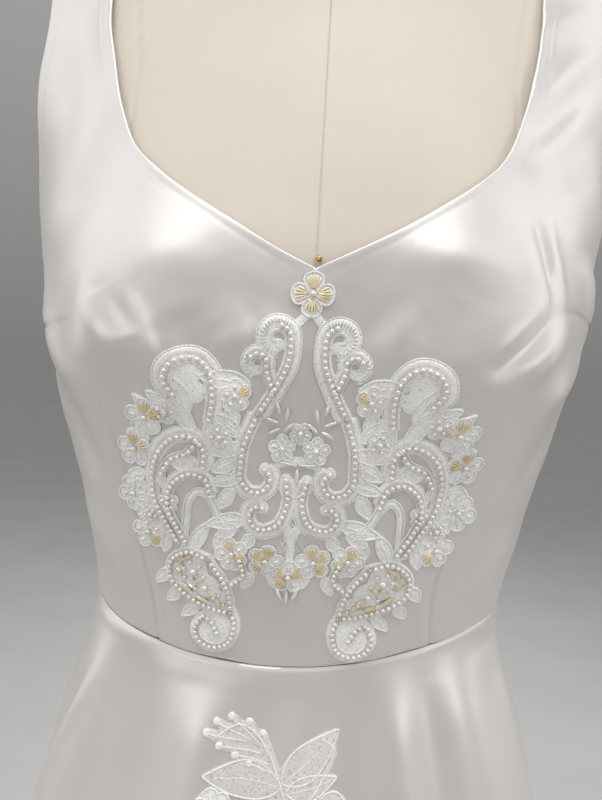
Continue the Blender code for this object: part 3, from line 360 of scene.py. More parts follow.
def joined(first, second, at):
    def edge(t):
        t = np.asarray(t, dtype=float)[..., None]
        low = first(np.clip(t[..., 0] / at, 0, 1))
        high = second(np.clip((t[..., 0] - at) / (1 - at), 0, 1))
        return np.where(t < at, low, high)
    return edge


def half_bodice(front, hand, us, vs):
    """Angles and heights of one half of the front, or of one back: hand is 1 at +X and -1 at -X."""
    turn = 1 if front else -1
    side = 90.0 - turn * SIDE_SEAM
    middle = 0.0 if front else 180.0 - BACK_OPENING
    wider = LEFT_NECK_WIDER if hand < 0 else 1.0
    rows = FRONT_NECK if front else BACK_NECK_ROWS
    neck = [(float(front_angle(x * wider, height, not front)), height) for x, height in rows]
    neck[0] = (middle, rows[0][1])
    top = float(ridge_height(STRAP_INNER * wider))
    for share in (0.35, 0.62, 0.82, 0.94):
        height = rows[-1][1] + (top - rows[-1][1]) * share
        neck.append((float(front_angle(STRAP_INNER * wider, height, not front)), height))
    neck.append((side, top))
    arm = [(side - turn * away, height) for away, height in ARMHOLE]
    arm.append((side, float(ridge_height(STRAP_OUTER))))
    low_middle = float(waist_seam(hand * middle)) + SEAM_GAP / 2
    low_side = float(waist_seam(hand * side)) + SEAM_GAP / 2
    inner = joined(upright(middle, low_middle, rows[0][1]), evenly(neck), NECK_SHARE[front])
    outer = joined(upright(side, low_side, UNDERARM), evenly(arm), UNDERARM_SHARE)
    angles = middle + (side - middle) * us
    low = np.stack([angles, waist_seam(hand * angles) + SEAM_GAP / 2], axis=-1)
    half_x = STRAP_INNER * wider + (STRAP_OUTER - STRAP_INNER * wider) * us
    high = np.stack([side + 0 * us, ridge_height(half_x)], axis=-1)
    u, v = us[None, :, None], vs[:, None, None]
    ends = np.array([0.0, 1.0])
    (a, c), (b, d) = inner(ends), outer(ends)
    corners = (1 - u) * (1 - v) * a + u * (1 - v) * b + (1 - u) * v * c + u * v * d
    sides = (1 - u) * inner(vs)[:, None, :] + u * outer(vs)[:, None, :]
    return (sides + (1 - v) * low[None] + v * high[None] - corners) * np.array([hand, 1.0])


# Mesh helpers
def to_world(points):
    return (np.asarray(points, dtype=float) + np.array([0.0, 0.0, WAIST_HEIGHT])) * MM


def make_object(name, points, faces, finish, sharp=60.0):
    """An object from points in millimetres above the waist line."""
    mesh = bpy.data.meshes.new(name)
    mesh.from_pydata(to_world(points).tolist(), [], faces if isinstance(faces, list) else faces.tolist())
    mesh.shade_smooth()
    mesh.set_sharp_from_angle(angle=math.radians(sharp))
    mesh.materials.append(finish)
    return link(bpy.data.objects.new(name, mesh))


def outward(thing):
    """Turn the faces of every closed part of a piece outward."""
    work = bmesh.new()
    work.from_mesh(thing.data)
    bmesh.ops.recalc_face_normals(work, faces=work.faces)
    work.to_mesh(thing.data)
    work.free()


def ring_faces(rings, sides, first=0):
    """Faces between rings of points; the first ring starts at the index first."""
    faces = []
    for level in range(rings - 1):
        for s in range(sides):
            a, b = first + level * sides + s, first + level * sides + (s + 1) % sides
            faces.append((a, b, b + sides, a + sides))
    return faces


def tube_faces(rings, sides):
    """Faces between rings of points, with a face over either end."""
    ends = [tuple(reversed(range(sides))), tuple(range((rings - 1) * sides, rings * sides))]
    return ring_faces(rings, sides) + ends


def moved_faces(faces, by):
    return [tuple(index + by for index in face) for face in faces]


def fan_faces(ring, sides, tip, flip=False):
    """Faces from a ring that starts at the index ring to one point."""
    faces = [(ring + s, ring + (s + 1) % sides, tip) for s in range(sides)]
    return [tuple(reversed(face)) for face in faces] if flip else faces


def grid_faces(rows, columns, flip=False):
    corner = (np.arange(rows - 1)[:, None] * columns + np.arange(columns - 1)[None, :]).ravel()
    faces = np.stack([corner, corner + 1, corner + columns + 1, corner + columns], axis=1)
    return faces[:, ::-1] if flip else faces


def walled(name, outer, inner, faces, finish):
    """A closed wall from a sheet's outer and inner points; faces wind outward on the outer side."""
    count = len(outer)
    faces = np.asarray(faces)
    edges = np.stack([faces, np.roll(faces, -1, axis=1)], axis=-1).reshape(-1, 2)
    keys = set(map(tuple, edges.tolist()))
    rim = [(a, b) for a, b in edges.tolist() if (b, a) not in keys]
    back = faces[:, ::-1] + count
    side = [(b, a, a + count, b + count) for a, b in rim]
    return make_object(name, np.vstack([outer, inner]), faces.tolist() + back.tolist() + side, finish)


def graded(*stretches):
    """Places from 0 to 1 in stretches of (start, stop, count)."""
    return np.unique(np.round(np.concatenate([np.linspace(a, b, count) for a, b, count in stretches]), 9))


def distance_to(points, line):
    """Least distance from each point to a line of points."""
    nearest = np.full(len(points), 1e9)
    for a, b in zip(line, line[1:]):
        run = b - a
        t = np.clip((points - a) @ run / max(run @ run, 1e-9), 0, 1)
        nearest = np.minimum(nearest, np.linalg.norm(points - a - t[:, None] * run, axis=1))
    return nearest


# Edges of the cloth: folded edges roll over, seams are drawn in
ROLL_WIDTH = 0.7
SEAM_DEPTH, SEAM_WIDTH = 0.55, 1.1
EDGE_STEPS = 200


def lip(distance):
    """How far a face turns in towards the middle of the wall at a folded edge."""
    return 0.5 * WALL * (1 - np.sqrt(1 - (1 - np.clip(distance / ROLL_WIDTH, 0, 1)) ** 2))


def rolled(distance):
    """Outward lift of the outer face near a folded edge."""
    return 0.10 * bell((distance - 1.6) / 1.0) - 0.08 * bell((distance - 4.5) / 0.9) - lip(distance)


def drawn_in(distance):
    return -SEAM_DEPTH * bell(distance / SEAM_WIDTH)


FRONT_US = graded((0, 0.012, 6), (0.012, 0.06, 6), (0.06, 0.39, 24), (0.39, 0.51, 29), (0.51, 0.95, 24),
                  (0.95, 0.988, 5), (0.988, 1, 5))
FRONT_VS = graded((0, 0.01, 5), (0.01, 0.40, 62), (0.40, 0.5, 30), (0.5, 0.985, 78), (0.985, 1, 5))
BACK_US = graded((0, 0.012, 5), (0.012, 0.05, 4), (0.05, 0.42, 22), (0.42, 0.62, 16), (0.62, 0.95, 16),
                 (0.95, 1, 6))
BACK_VS = graded((0, 0.01, 5), (0.01, 0.62, 64), (0.62, 0.985, 44), (0.985, 1, 5))


def bodice_edges(front, hand):
    """The panel half's edges as lines of points: folded ones, and seams."""
    fine = np.linspace(0, 1, EDGE_STEPS + 1)
    ends = np.array([0.0, 1.0])
    columns = half_bodice(front, hand, ends, fine)
    rows = half_bodice(front, hand, fine, ends)
    middle, side = (form_point(columns[:, i, 0], columns[:, i, 1]) for i in (0, 1))
    waist, shoulder = (form_point(row[:, 0], row[:, 1]) for row in rows)
    neck_from, arm_from = round(NECK_SHARE[front] * EDGE_STEPS), round(UNDERARM_SHARE * EDGE_STEPS)
    folded = [middle[neck_from:], side[arm_from:]] + ([] if front else [middle[:neck_from + 1]])
    return folded, [waist, shoulder, side[:arm_from + 1]]


FACING_FROM_EDGE, FACING_DEPTH = 7.0, 0.16


def bodice_layers(front, hand, angle, height):
    """Outer and inner points of one panel half."""
    place = form_point(angle, height)
    folded, seams = bodice_edges(front, hand)
    edge = np.min([distance_to(place, line) for line in folded], axis=0)
    seam = np.min([distance_to(place, line) for line in seams], axis=0)
    strap = smoothstep(200, 250, height)
    pucker = 0.5 + 0.5 * np.sin(height * 0.55 + 2.0 * np.sin(height * 0.13))
    facing = -FACING_DEPTH * strap * bell((edge - FACING_FROM_EDGE) / 0.9) * (0.5 + pucker)
    out = WALL + rolled(edge) + drawn_in(seam) + facing
    return bodice_point(angle, height, out), bodice_point(angle, height, lip(edge))


def panel_half(front, hand, us, vs):
    """Outer and inner points of one panel half, its waist edge level with the seam."""
    grid = half_bodice(front, hand, us, vs)
    angle, height = grid[..., 0].ravel(), grid[..., 1].ravel()
    layers = bodice_layers(front, hand, angle, height)
    at_seam = height < waist_seam(angle) + SEAM_GAP
    for points in layers:
        points[at_seam, 2] = height[at_seam]
    return layers


def bodice_front():
    """The front in one piece: its two halves share their points from the waist to the neck's point."""
    rows, columns = len(FRONT_VS), len(FRONT_US)
    half = rows * columns
    neck_row = int(np.argmin(np.abs(FRONT_VS - NECK_SHARE[True])))
    halves = [panel_half(True, hand, FRONT_US, FRONT_VS) for hand in (1, -1)]
    faces = np.vstack([grid_faces(rows, columns), grid_faces(rows, columns, True) + half])
    index = np.arange(2 * half)
    shared = np.arange(neck_row + 1) * columns
    index[shared + half] = shared
    kept = np.ones(2 * half, bool)
    kept[shared + half] = False
    renumber = np.cumsum(kept) - 1
    faces = renumber[index[faces]]
    outer, inner = (np.vstack(layer)[kept] for layer in zip(*halves))
    return walled("bodice_front_satin", outer, inner, faces, MATERIALS["satin"])


def bodice_back(hand):
    outer, inner = panel_half(False, hand, BACK_US, BACK_VS)
    name = "bodice_back_right_satin" if hand == 1 else "bodice_back_left_satin"
    faces = grid_faces(len(BACK_VS), len(BACK_US), flip=hand == 1)
    return walled(name, outer, inner, faces, MATERIALS["satin"])


# Skirt: each panel's first and last angle, and how many columns of points it has
SKIRT_PANELS = {
    "skirt_front": (-90 + SIDE_SEAM, 90 - SIDE_SEAM, 230),
    "skirt_back_right": (90 + SIDE_SEAM, 180 - SIDE_SEAM, 110),
    "skirt_back_left": (-180 + SIDE_SEAM, -90 - SIDE_SEAM, 110),
}
SKIRT_LEVELS = graded((0, 0.003, 6), (0.003, 0.02, 8), (0.02, 0.10, 26), (0.10, 0.30, 26), (0.30, 0.97, 44),
                      (0.97, 0.996, 8), (0.996, 1, 5))
HEM_BAND = 22.0
# Long soft ridges that hang from the waist; their lean is in degrees per millimetre
Ridge = namedtuple("Ridge", "angle half_angle rise lean")
SHEEN_RIDGES = [Ridge(*row) for row in (
    (-24, 7, 3.4, 0.02), (-10, 6, -2.4, 0.01), (5, 6, 1.2, 0.0), (15, 6, -1.6, 0.0), (28, 6, 3.0, -0.02),
    (37, 4, -1.4, -0.03), (47, 7, 2.8, -0.04), (-42, 7, -2.0, 0.05), (64, 7, -2.0, -0.04))]


# Rises of the skirt's relief
DRAPE_BROAD, DRAPE_FINE, SIDE_FOLD, SEAM_RIDGE = 1.6, 0.9, 1.8, 0.9
ALLOWANCE_RISE, GATHER_RISE, HEM_RISE, HEM_STITCH = 0.25, 0.35, 0.25, 0.3


def skirt_relief(angle, height, below):
    """Drape and ridges from the waist down, a seam's ridge at the left, gathers, and the hem's band."""
    x = wrapped(angle)
    grown = smoothstep(20, 420, below)
    broad = np.sin(np.radians(x * 11 + 40 * np.sin(height * 0.004)))
    drape = DRAPE_BROAD * broad + DRAPE_FINE * np.sin(np.radians(x * 23 + 90))
    faded = 1 - smoothstep(160, 420, below)
    leaning = bell((x + 62 - (height + 50) * 0.17) / 3.5)
    side_fold = SIDE_FOLD * leaning * smoothstep(10, 60, below) * faded
    at_left = smoothstep(-95, -62, x) * (1 - smoothstep(-52, -36, x))
    ridge = SEAM_RIDGE * bell((below - 4.5) / 2.2) * at_left
    hanging = sum(row.rise * bell((x - row.angle - (height + 40) * row.lean) / row.half_angle)
                  for row in SHEEN_RIDGES)
    sheen = hanging * smoothstep(4, 40, below) * faded
    allowance = ALLOWANCE_RISE * smoothstep(0, 2, below) * (1 - smoothstep(10, 13, below))
    under_waist = smoothstep(2, 14, below) * (1 - smoothstep(40, 150, below))
    gathers = GATHER_RISE * np.sin(np.radians(x * 17)) * under_waist
    from_hem = height + HEM_DROP
    stitched = bell((from_hem - HEM_BAND) / 1.2)
    band = HEM_RISE * (1 - smoothstep(HEM_BAND - 1.5, HEM_BAND, from_hem)) - HEM_STITCH * stitched
    return grown * drape + side_fold + ridge + allowance + gathers + band + sheen


def skirt_surface(angle, height, out=0.0):
    below = waist_seam(angle) - height
    points = moved_out(skirt_point, angle, height, skirt_relief(angle, height, below) + out)
    points[..., 2] = height
    return points


def skirt_panel(name):
    start, stop, columns = SKIRT_PANELS[name]
    share = graded((0, 0.004, 3), (0.004, 0.996, columns), (0.996, 1, 3))
    turns = start + (stop - start) * share
    top = waist_seam(turns) - SEAM_GAP / 2
    height = top[None, :] - (HEM_DROP + top[None, :]) * SKIRT_LEVELS[:, None]
    angle = np.broadcast_to(turns, height.shape)
    below = top[None, :] - height
    radius = section_radius(angle, height, SKIRT_CURVES)
    side = np.minimum(angle - start, stop - angle) * np.pi / 180 * radius
    from_hem = height + HEM_DROP
    outer_lift = drawn_in(below) + drawn_in(side) * 0.8 + rolled(from_hem)
    outer = skirt_surface(angle, height, outer_lift).reshape(-1, 3)
    inner = skirt_surface(angle, height, lip(from_hem) - WALL).reshape(-1, 3)
    return walled(name + "_satin", outer, inner, grid_faces(*height.shape, flip=True), MATERIALS["satin"])


# Applique: motifs are drawn flat, x from the centre and z from the waist, then laid over the cloth
PEARL, PEARL_PITCH = 1.22, 2.8
CORD_RADIUS, CORD_TWIST = 0.5, 0.14
BAND_HALF, NARROW_BAND, BAND_TWIST = 1.7, 1.3, 0.13
GROUND_LIFT, GROUND_THICK = 0.12, 0.55
LACE_LEAN, LACE_MIDDLE = 2.0, 190.0
SCROLL_STEP = 0.55
BODICE_CELL, SKIRT_CELL, ROW_SHARE = 1.35, 1.6, 0.87
ROUGHEN_SEED = 7


def rounded_path(points, step=0.6, closed=False):
    """A smooth path through a few points, in short even steps."""
    points = np.asarray(points, dtype=float)
    if closed:
        extended = np.vstack([points[-1], points, points[0], points[1]])
    else:
        extended = np.vstack([2 * points[0] - points[1], points, 2 * points[-1] - points[-2]])
    made = []
    for a, b, c, d in zip(extended, extended[1:], extended[2:], extended[3:]):
        count = max(3, int(np.linalg.norm(c - b) / 0.25))
        t = (np.arange(count) / count)[:, None]
        made.append(0.5 * (2 * b + (c - a) * t + (2 * a - 5 * b + 4 * c - d) * t * t
                           + (3 * b - a - 3 * c + d) * t ** 3))
    made = np.vstack(made + [extended[-2][None]])
    length = np.concatenate([[0.0], np.cumsum(np.linalg.norm(np.diff(made, axis=0), axis=1))])
    count = max(3, int(round(length[-1] / step)) + 1)
    places = np.linspace(0, length[-1], count)
    even = np.column_stack([np.interp(places, length, made[:, 0]), np.interp(places, length, made[:, 1])])
    return even[:-1] if closed else even


def sides_of(path, closed=False):
    """Unit vectors to the right of travel."""
    if closed:
        way = np.roll(path, -1, axis=0) - np.roll(path, 1, axis=0)
    else:
        way = np.gradient(path, axis=0)
    way = way / np.maximum(np.linalg.norm(way, axis=1, keepdims=True), 1e-9)
    return np.column_stack([way[:, 1], -way[:, 0]])


def shifted(path, shift, closed=False):
    return path + sides_of(path, closed) * np.asarray(shift).reshape(-1, 1)


def spiral(x, z, outer, inner, start, turns):
    """Points of a curl that closes from its outer radius to its inner one."""
    share = np.linspace(0, 1, int(abs(turns) * 8) + 2)
    way = np.radians(start) + turns * 2 * math.pi * share
    reach = outer + (inner - outer) * share
    return [(x + r * math.cos(w), z + r * math.sin(w)) for r, w in zip(reach, way)]


def twisted(path, twist):
    """Sizes that go up and down by a share along a path, like a twisted thread's."""
    return 1 + twist * np.where(np.arange(len(path)) % 2, 1.0, -1.0)


class Flat:
    """Closed shapes gathered in flat lace coordinates: x, z and out from the cloth."""

    def __init__(self):
        self.points, self.faces, self.count = [], [], 0

    def add(self, points, faces):
        self.points.append(points)
        self.faces += moved_faces(faces, self.count)
        self.count += len(points)

    def empty(self):
        return not self.points

    def mirror(self):
        flipped = np.vstack(self.points) * np.array([-1.0, 1.0, 1.0])
        self.add(flipped, [tuple(reversed(face)) for face in self.faces])

    def make(self, name, place, finish, lean=True):
        points = np.vstack(self.points)
        x, z = leaned(points[:, 0], points[:, 1]) if lean else (points[:, 0], points[:, 1])
        thing = make_object(name, place(x, z, points[:, 2]), self.faces, finish)
        outward(thing)
        return thing

    def sweep(self, path, profile, closed, scale):
        """Sweep a closed cross profile of (across, out) along a flat path."""
        count, k = len(path), len(profile)
        side = sides_of(path, closed)
        across, out = (np.array(profile)[:, i] for i in (0, 1))
        if not closed:
            ends = np.minimum(np.arange(count), np.arange(count)[::-1])
            scale = scale * np.array([0.55, 0.85, 1.0])[np.minimum(ends, 2)]
        x = path[:, 0, None] + side[:, 0, None] * across[None, :] * scale[:, None]
        z = path[:, 1, None] + side[:, 1, None] * across[None, :] * scale[:, None]
        o = np.broadcast_to(out[None, :], x.shape) * scale[:, None]
        faces = ring_faces(count, k) if closed else tube_faces(count, k)
        if closed:
            last = (count - 1) * k
            faces += [(last + j, last + (j + 1) % k, (j + 1) % k, j) for j in range(k)]
        self.add(np.column_stack([x.ravel(), z.ravel(), o.ravel()]), faces)

    def cord(self, path, radius=CORD_RADIUS, lift=0.75, closed=False, twist=CORD_TWIST):
        way = np.linspace(0, 2 * math.pi, 7)[:-1]
        profile = [(radius * math.cos(w), lift + radius * math.sin(w)) for w in way]
        self.sweep(path, profile, closed, twisted(path, twist))

    def band(self, path, half=BAND_HALF, rise=1.05):
        profile = [(-half, 0.1), (-half * 0.9, rise * 0.55), (-half * 0.5, rise * 0.9), (0, rise),
                   (half * 0.5, rise * 0.9), (half * 0.9, rise * 0.55), (half, 0.1)]
        self.sweep(path, profile, False, twisted(path, BAND_TWIST))

    def pad(self, loop, rise=0.9, base=0.1, crease=0.0):
        """A low stitched pad over a closed outline."""
        centre, count = loop.mean(axis=0), len(loop)
        rings = [(1.0, base), (1.0, base + rise * 0.35), (0.72, base + rise * 0.95),
                 (0.36, base + rise - crease * 0.4)]
        points = [np.column_stack([centre + (loop - centre) * size, np.full(count, out)])
                  for size, out in rings]
        points += [np.array([[*centre, base + rise - crease]]), np.array([[*centre, base]])]
        last, top = (len(rings) - 1) * count, len(rings) * count
        faces = ring_faces(len(rings), count) + fan_faces(last, count, top)
        self.add(np.vstack(points), faces + fan_faces(0, count, top + 1, True))


def leaned(x, z):
    """The applique is sewn on a little askew, its foot towards -X."""
    return x + (z - LACE_MIDDLE) * math.tan(math.radians(LACE_LEAN)), z


def turns_of(sides):
    return [2 * math.pi * s / sides for s in range(sides)]


def ball(rings=6, sides=12):
    """A round bead of radius 1."""
    points = [(0.0, 0.0, -1.0)]
    for ring in range(1, rings):
        lift = -math.cos(math.pi * ring / rings)
        reach = math.sin(math.pi * ring / rings)
        points += [(reach * math.cos(turn), reach * math.sin(turn), lift) for turn in turns_of(sides)]
    points.append((0.0, 0.0, 1.0))
    last = len(points) - 1
    caps = fan_faces(1, sides, 0, True) + fan_faces(last - sides, sides, last)
    return np.array(points), ring_faces(rings - 1, sides, 1) + caps


def lathe(profile, sides=8):
    """A bead along its own length, from rows of (along, radius)."""
    points = [(along, radius * math.cos(turn), radius * math.sin(turn))
              for along, radius in profile for turn in turns_of(sides)]
    return np.array(points), tube_faces(len(profile), sides)


def blossom(sides=25):
    """A cupped bead with five petals and a dimple in the middle."""
    points = [(0.0, 0.0, 0.1)]
    for size, lift in ((0.3, 0.0), (0.68, 0.22), (1.0, 0.62)):
        for turn in turns_of(sides):
            reach = size * (1 - size * 0.26 * (1 - abs(math.cos(5 * turn / 2)) ** 0.7))
            points.append((reach * math.cos(turn), reach * math.sin(turn), lift))
    points.append((0.0, 0.0, -0.25))
    walls = [tuple(reversed(face)) for face in ring_faces(3, sides, 1)]
    caps = fan_faces(1, sides, 0) + fan_faces(1 + 2 * sides, sides, len(points) - 1, True)
    return np.array(points), walls + caps


BEAD_SHAPES = {
    "ball": ball(),
    "bugle": lathe([(-1, 0.7), (-0.9, 1.0), (0.9, 1.0), (1, 0.7)]),
    "seed": lathe([(-1, 0.25), (-0.55, 0.85), (0, 1.0), (0.55, 0.85), (1, 0.25)]),
    "blossom": blossom(),
}


class Beads:
    """Beads of several shapes, each at a flat place with a direction and half sizes."""

    def __init__(self):
        self.rows = []

    def add(self, shape, x, z, out, half, way=0.0):
        self.rows.append((shape, x, z, out, way, *half))

    def empty(self):
        return not self.rows

    def mirror(self):
        self.rows += [(shape, -x, z, out, 180.0 - way, *half) for shape, x, z, out, way, *half in self.rows]

    def row(self, path, radius=PEARL, pitch=PEARL_PITCH, out=1.9):
        length = np.concatenate([[0.0], np.cumsum(np.linalg.norm(np.diff(path, axis=0), axis=1))])
        count = max(2, int(round(length[-1] / pitch)) + 1)
        places = np.linspace(0, length[-1], count)
        for x, z in zip(np.interp(places, length, path[:, 0]), np.interp(places, length, path[:, 1])):
            self.add("ball", x, z, out, (radius,) * 3)

    def make(self, name, place, finish, lean=True):
        points, faces, count = [], [], 0
        for key, (template, template_faces) in BEAD_SHAPES.items():
            rows = [row[1:] for row in self.rows if row[0] == key]
            if not rows:
                continue
            x, z, out, way, *half = (np.array(column, dtype=float) for column in zip(*rows))
            if lean:
                x, z = leaned(x, z)
            centre = place(x, z, out)
            turn = np.radians(way)
            ahead = place(x + 0.1 * np.cos(turn), z + 0.1 * np.sin(turn), out) - centre
            above = place(x, z, out + 0.1) - centre
            ahead /= np.linalg.norm(ahead, axis=1, keepdims=True)
            above -= ahead * np.sum(above * ahead, axis=1, keepdims=True)
            above /= np.linalg.norm(above, axis=1, keepdims=True)
            across = np.cross(above, ahead)
            sizes = np.stack(half, axis=1)[:, None, :]
            local = template[None] * sizes
            world = (centre[:, None, :] + local[..., 0:1] * ahead[:, None, :]
                     + local[..., 1:2] * across[:, None, :] + local[..., 2:3] * above[:, None, :])
            points.append(world.reshape(-1, 3))
            for _ in rows:
                faces += moved_faces(template_faces, count)
                count += len(template)
        return make_object(name, np.vstack(points), faces, finish)


LACE_SLOTS = {"cords": "thread", "bands": "thread", "pads": "lace", "pearls": "pearl",
              "gold_beads": "gold_bead", "silver_beads": "silver_bead"}
LaceWork = namedtuple("LaceWork", "cords bands pads pearls gold_beads silver_beads")


def lace_work():
    return LaceWork(Flat(), Flat(), Flat(), Beads(), Beads(), Beads())


def lace_pieces(name, work, place, lean=True):
    """A piece of each kind of work that the lace has."""
    return [item.make(f"{name}_{kind}", place, MATERIALS[LACE_SLOTS[kind]], lean)
            for kind, item in work._asdict().items() if not item.empty()]


def on_bodice(x, z, out):
    x, z = np.asarray(x, dtype=float), np.asarray(z, dtype=float)
    angle = np.sign(x) * front_angle(np.abs(x), z)
    return bodice_point(angle, z, WALL + out)


def on_skirt(x, z, out):
    half_width, front, _ = (curve(z) for curve in SKIRT_CURVES)
    share = np.abs(x) / half_width
    angle = np.degrees(np.arctan2(x, front * (1 - share ** SECTION_POWER) ** (1 / SECTION_POWER)))
    return skirt_surface(angle, np.asarray(z, dtype=float), np.asarray(out, dtype=float))


# The applique's right half: pearled scrolls with their stitched bands, band 1 right of travel, -1 left
Scroll = namedtuple("Scroll", "path radius band pearls bare", defaults=(0.0,))
TOP_CURL = spiral(14.5, 151.5, 6.5, 3.2, 185, -0.8)[::-1] + [(8.5, 141), (13.5, 130), (20.5, 118)]
BELLY = [(16.5, 124), (20.5, 118), (25.5, 104), (26.5, 93)] + spiral(18.0, 89, 8.5, 4.5, -10, -0.62)
SCROLLS = [
    Scroll(TOP_CURL, 3.0, 1, True, 17.0),
    Scroll(BELLY[1:], 3.0, -1, True),
    Scroll(([(14.5, 129), (18, 138)] + spiral(22.5, 140.5, 4.6, 2.8, 160, -0.7))[::-1], 2.4, 1, True, 8.0),
    Scroll([(5, 88), (3.5, 78), (6.5, 69)] + spiral(15.5, 71.5, 7.5, 3.6, -125, 0.62), 3.0, 1, True),
    Scroll([(42, 115), (41, 125), (43, 136), (50, 141.5), (58, 139), (60.5, 132), (57, 126)], 3.0, -1, True),
    Scroll([(44, 92), (44.5, 101), (50, 106), (58, 105), (64, 99), (67.5, 89), (67, 77), (62, 66), (55, 54)],
           3.0, -1, True),
    Scroll([(40, 78), (43, 86), (51, 88.5), (58, 83), (60, 73), (56, 63), (51, 54)], 2.2, -1, True),
    Scroll([(39, 46), (49, 48.5), (58, 42), (57.5, 31), (46, 22.5), (36, 18.5), (27, 18)], 3.0, 0, True),
    Scroll([(39, 46), (32.5, 38), (28.5, 28), (27, 18)], 2.2, 0, True),
    Scroll([(27, 18), (25, 14)] + spiral(35.5, 7.5, 10.8, 8.6, 175, 0.62), 3.0, 0, True),
    Scroll([(41, 14), (36, 11.5), (33, 6.5)], 2.2, 0, True),
    Scroll([(29, 60), (36, 68), (41, 77), (46, 80), (50, 75), (51, 64), (52, 51)], 1.8, 1, False),
    Scroll([(47, 104), (52, 98), (59, 95), (63, 88)], 1.5, 0, True),
    Scroll([(27, 34), (22, 39), (24, 47)], 1.5, 0, True),
]
Leaf = namedtuple("Leaf", "x0 z0 x1 z1 width")
LEAVES = [Leaf(*row) for row in (
    (25, 131, 47, 134, 8), (51, 118, 57, 133, 7), (58, 124, 47, 104, 7), (25, 103, 45, 99, 7),
    (26, 88, 42, 84, 6), (22, 68, 42, 64, 8), (41, 64, 50, 46, 7), (10, 41, 1, 33, 7),
    (28, 108, 40, 118, 7), (30, 96, 40, 90, 7), (30, 112, 34, 124, 6), (36, 118, 44, 108, 7),
    (30, 82, 36, 72, 7), (27, 64, 36, 58, 7), (58, 118, 68, 126, 7), (64, 112, 74, 124, 6),
    (70, 104, 80, 106, 7), (72, 86, 82, 84, 7), (70, 76, 76, 64, 7), (62, 62, 70, 62, 6),
    (60, 56, 62, 46, 6), (60, 36, 66, 28, 6), (54, 26, 60, 19, 6), (22, 54, 18, 62, 6),
    (36, 52, 32, 62, 6), (48, 94, 60, 94, 8), (24, 42, 30, 48, 6), (18, 40, 22, 31, 6),
    (44, 20, 52, 12, 6), (66, 92, 62, 80, 5))]
# Each petal of a flower holds a pearl, a silver bead or none, and those listed hold a fan of gold bugles
Flower = namedtuple("Flower", "x z size petals turn fill gold", defaults=((),))
FLOWERS = [Flower(*row) for row in (
    (70, 114, 8.5, 5, 90, "silver", (0, 1)), (77, 98, 8.5, 5, 20, "silver", (1, 2)),
    (79, 75, 9, 5, 60, "silver"), (70, 56, 9, 5, 10, "pearls", (3,)), (28, 50, 8, 5, 70, "pearls", (0, 2)),
    (11.5, 48, 8.5, 5, 30, "silver", (0, 1, 4)), (31, 126, 7, 5, 10, "pearls", (2,)),
    (37, 107, 6.5, 5, 0, "pearls"), (60, 74, 5, 5, 10, "pearls", (1,)),
    (8.0, 102.5, 6.3, 5, 15, "silver"), (69, 66, 5, 5, 50, "pearls"), (61, 117, 5.5, 5, 30, "pearls"))]
MIDDLE_FLOWERS = [Flower(0, 171, 9.5, 4, 90, "silver", (0, 1, 2, 3)),
                  Flower(0, 40, 8.5, 5, 90, "silver", (1, 4, 2)), Flower(0, 110, 5.0, 5, 60, "silver")]
MIDDLE_BARS = [
    [(-6, 84), (0, 80), (6, 84)], [(-5, 74), (0, 60), (5, 74)], [(0, 64), (0, 48)],
    [(-9, 155), (-5, 159), (0, 163), (5, 159), (9, 155)], [(-9, 95), (0, 97), (9, 95)],
]
# Fine grounds inside the pearled leaves, their tails and the paisleys: x, z and radius
FILLS = [(48, 38, 9), (40, 31, 7), (33, 25, 4), (35.5, 7.5, 9.5), (30, 13, 5), (52, 134, 5.5), (49, 127, 5)]
SILVER_SPRAY = [(11.5, 122, 70), (7, 119, 100), (13.5, 115.5, 20), (12.5, 110.5, -25), (5.5, 113, 140)]
LEAF_GOLD = [(54.5, 37, 60), (50, 28.5, 40), (42, 23.5, 25), (34, 22.5, 60), (53, 43, 110), (43, 34, 150),
             (50, 45, 150), (37, 27, 30)]
LEAF_PEARLS = [(46, 38.5, 1.8), (40, 30.5, 1.5), (48, 43, 1.0), (36, 25, 1.0), (51, 34, 1.0),
               (43, 41.5, 1.0), (41, 36, 1.0), (45, 29, 1.0), (47, 34.5, 1.0), (51, 39, 1.1),
               (33.5, 26.5, 0.9), (31, 21.5, 0.9)]
LEAF_BLOSSOMS = [(54, 40), (47, 32)]
MIDDLE_SEEDS = [(0, 90, 90), (0, 29, 90), (-4, 30.5, 115), (4, 30.5, 65)]
# Half sizes of the larger beads
SPRAY_SEED, GOLD_SEED, MIDDLE_SEED = (3.0, 0.95, 0.8), (3.2, 1.2, 0.9), (3.6, 1.0, 0.9)
LONG_BUGLE, FRINGE_BUGLE, BLOSSOM_HALF = (4.0, 0.55, 0.55), (1.15, 0.33, 0.33), (2.6, 2.6, 1.2)
NET_CORNERS, NET_PITCH, NET_SLOPE = [(-7.5, 53), (7.5, 53), (0, 73)], 2.3, 56


def leaf_loop(leaf, count=16):
    """A pointed leaf's outline, from root to tip and back."""
    t = np.linspace(0, 1, count // 2 + 1)
    half = leaf.width / 2 * np.sin(math.pi * t ** 0.8) ** 0.9
    root, run = np.array([leaf.x0, leaf.z0]), np.array([leaf.x1 - leaf.x0, leaf.z1 - leaf.z0])
    side = np.array([run[1], -run[0]]) / np.linalg.norm(run)
    right = root + t[:, None] * run + side * half[:, None]
    left = root + t[:, None] * run - side * half[:, None]
    return np.vstack([right, left[::-1][1:-1]])


def leaf_discs(leaf, trim):
    """A leaf's part of the ground, as a row of discs."""
    t = np.linspace(0, 1, 13)
    half = 0.9 + (leaf.width / 2 - trim) * np.sin(math.pi * t ** 0.8) ** 0.9
    return np.column_stack([leaf.x0 + (leaf.x1 - leaf.x0) * t, leaf.z0 + (leaf.z1 - leaf.z0) * t, half])


def off_centre(flower, way, share):
    """A place in a flower, at a share of its size from its centre."""
    return (flower.x + share * flower.size * math.cos(way), flower.z + share * flower.size * math.sin(way))


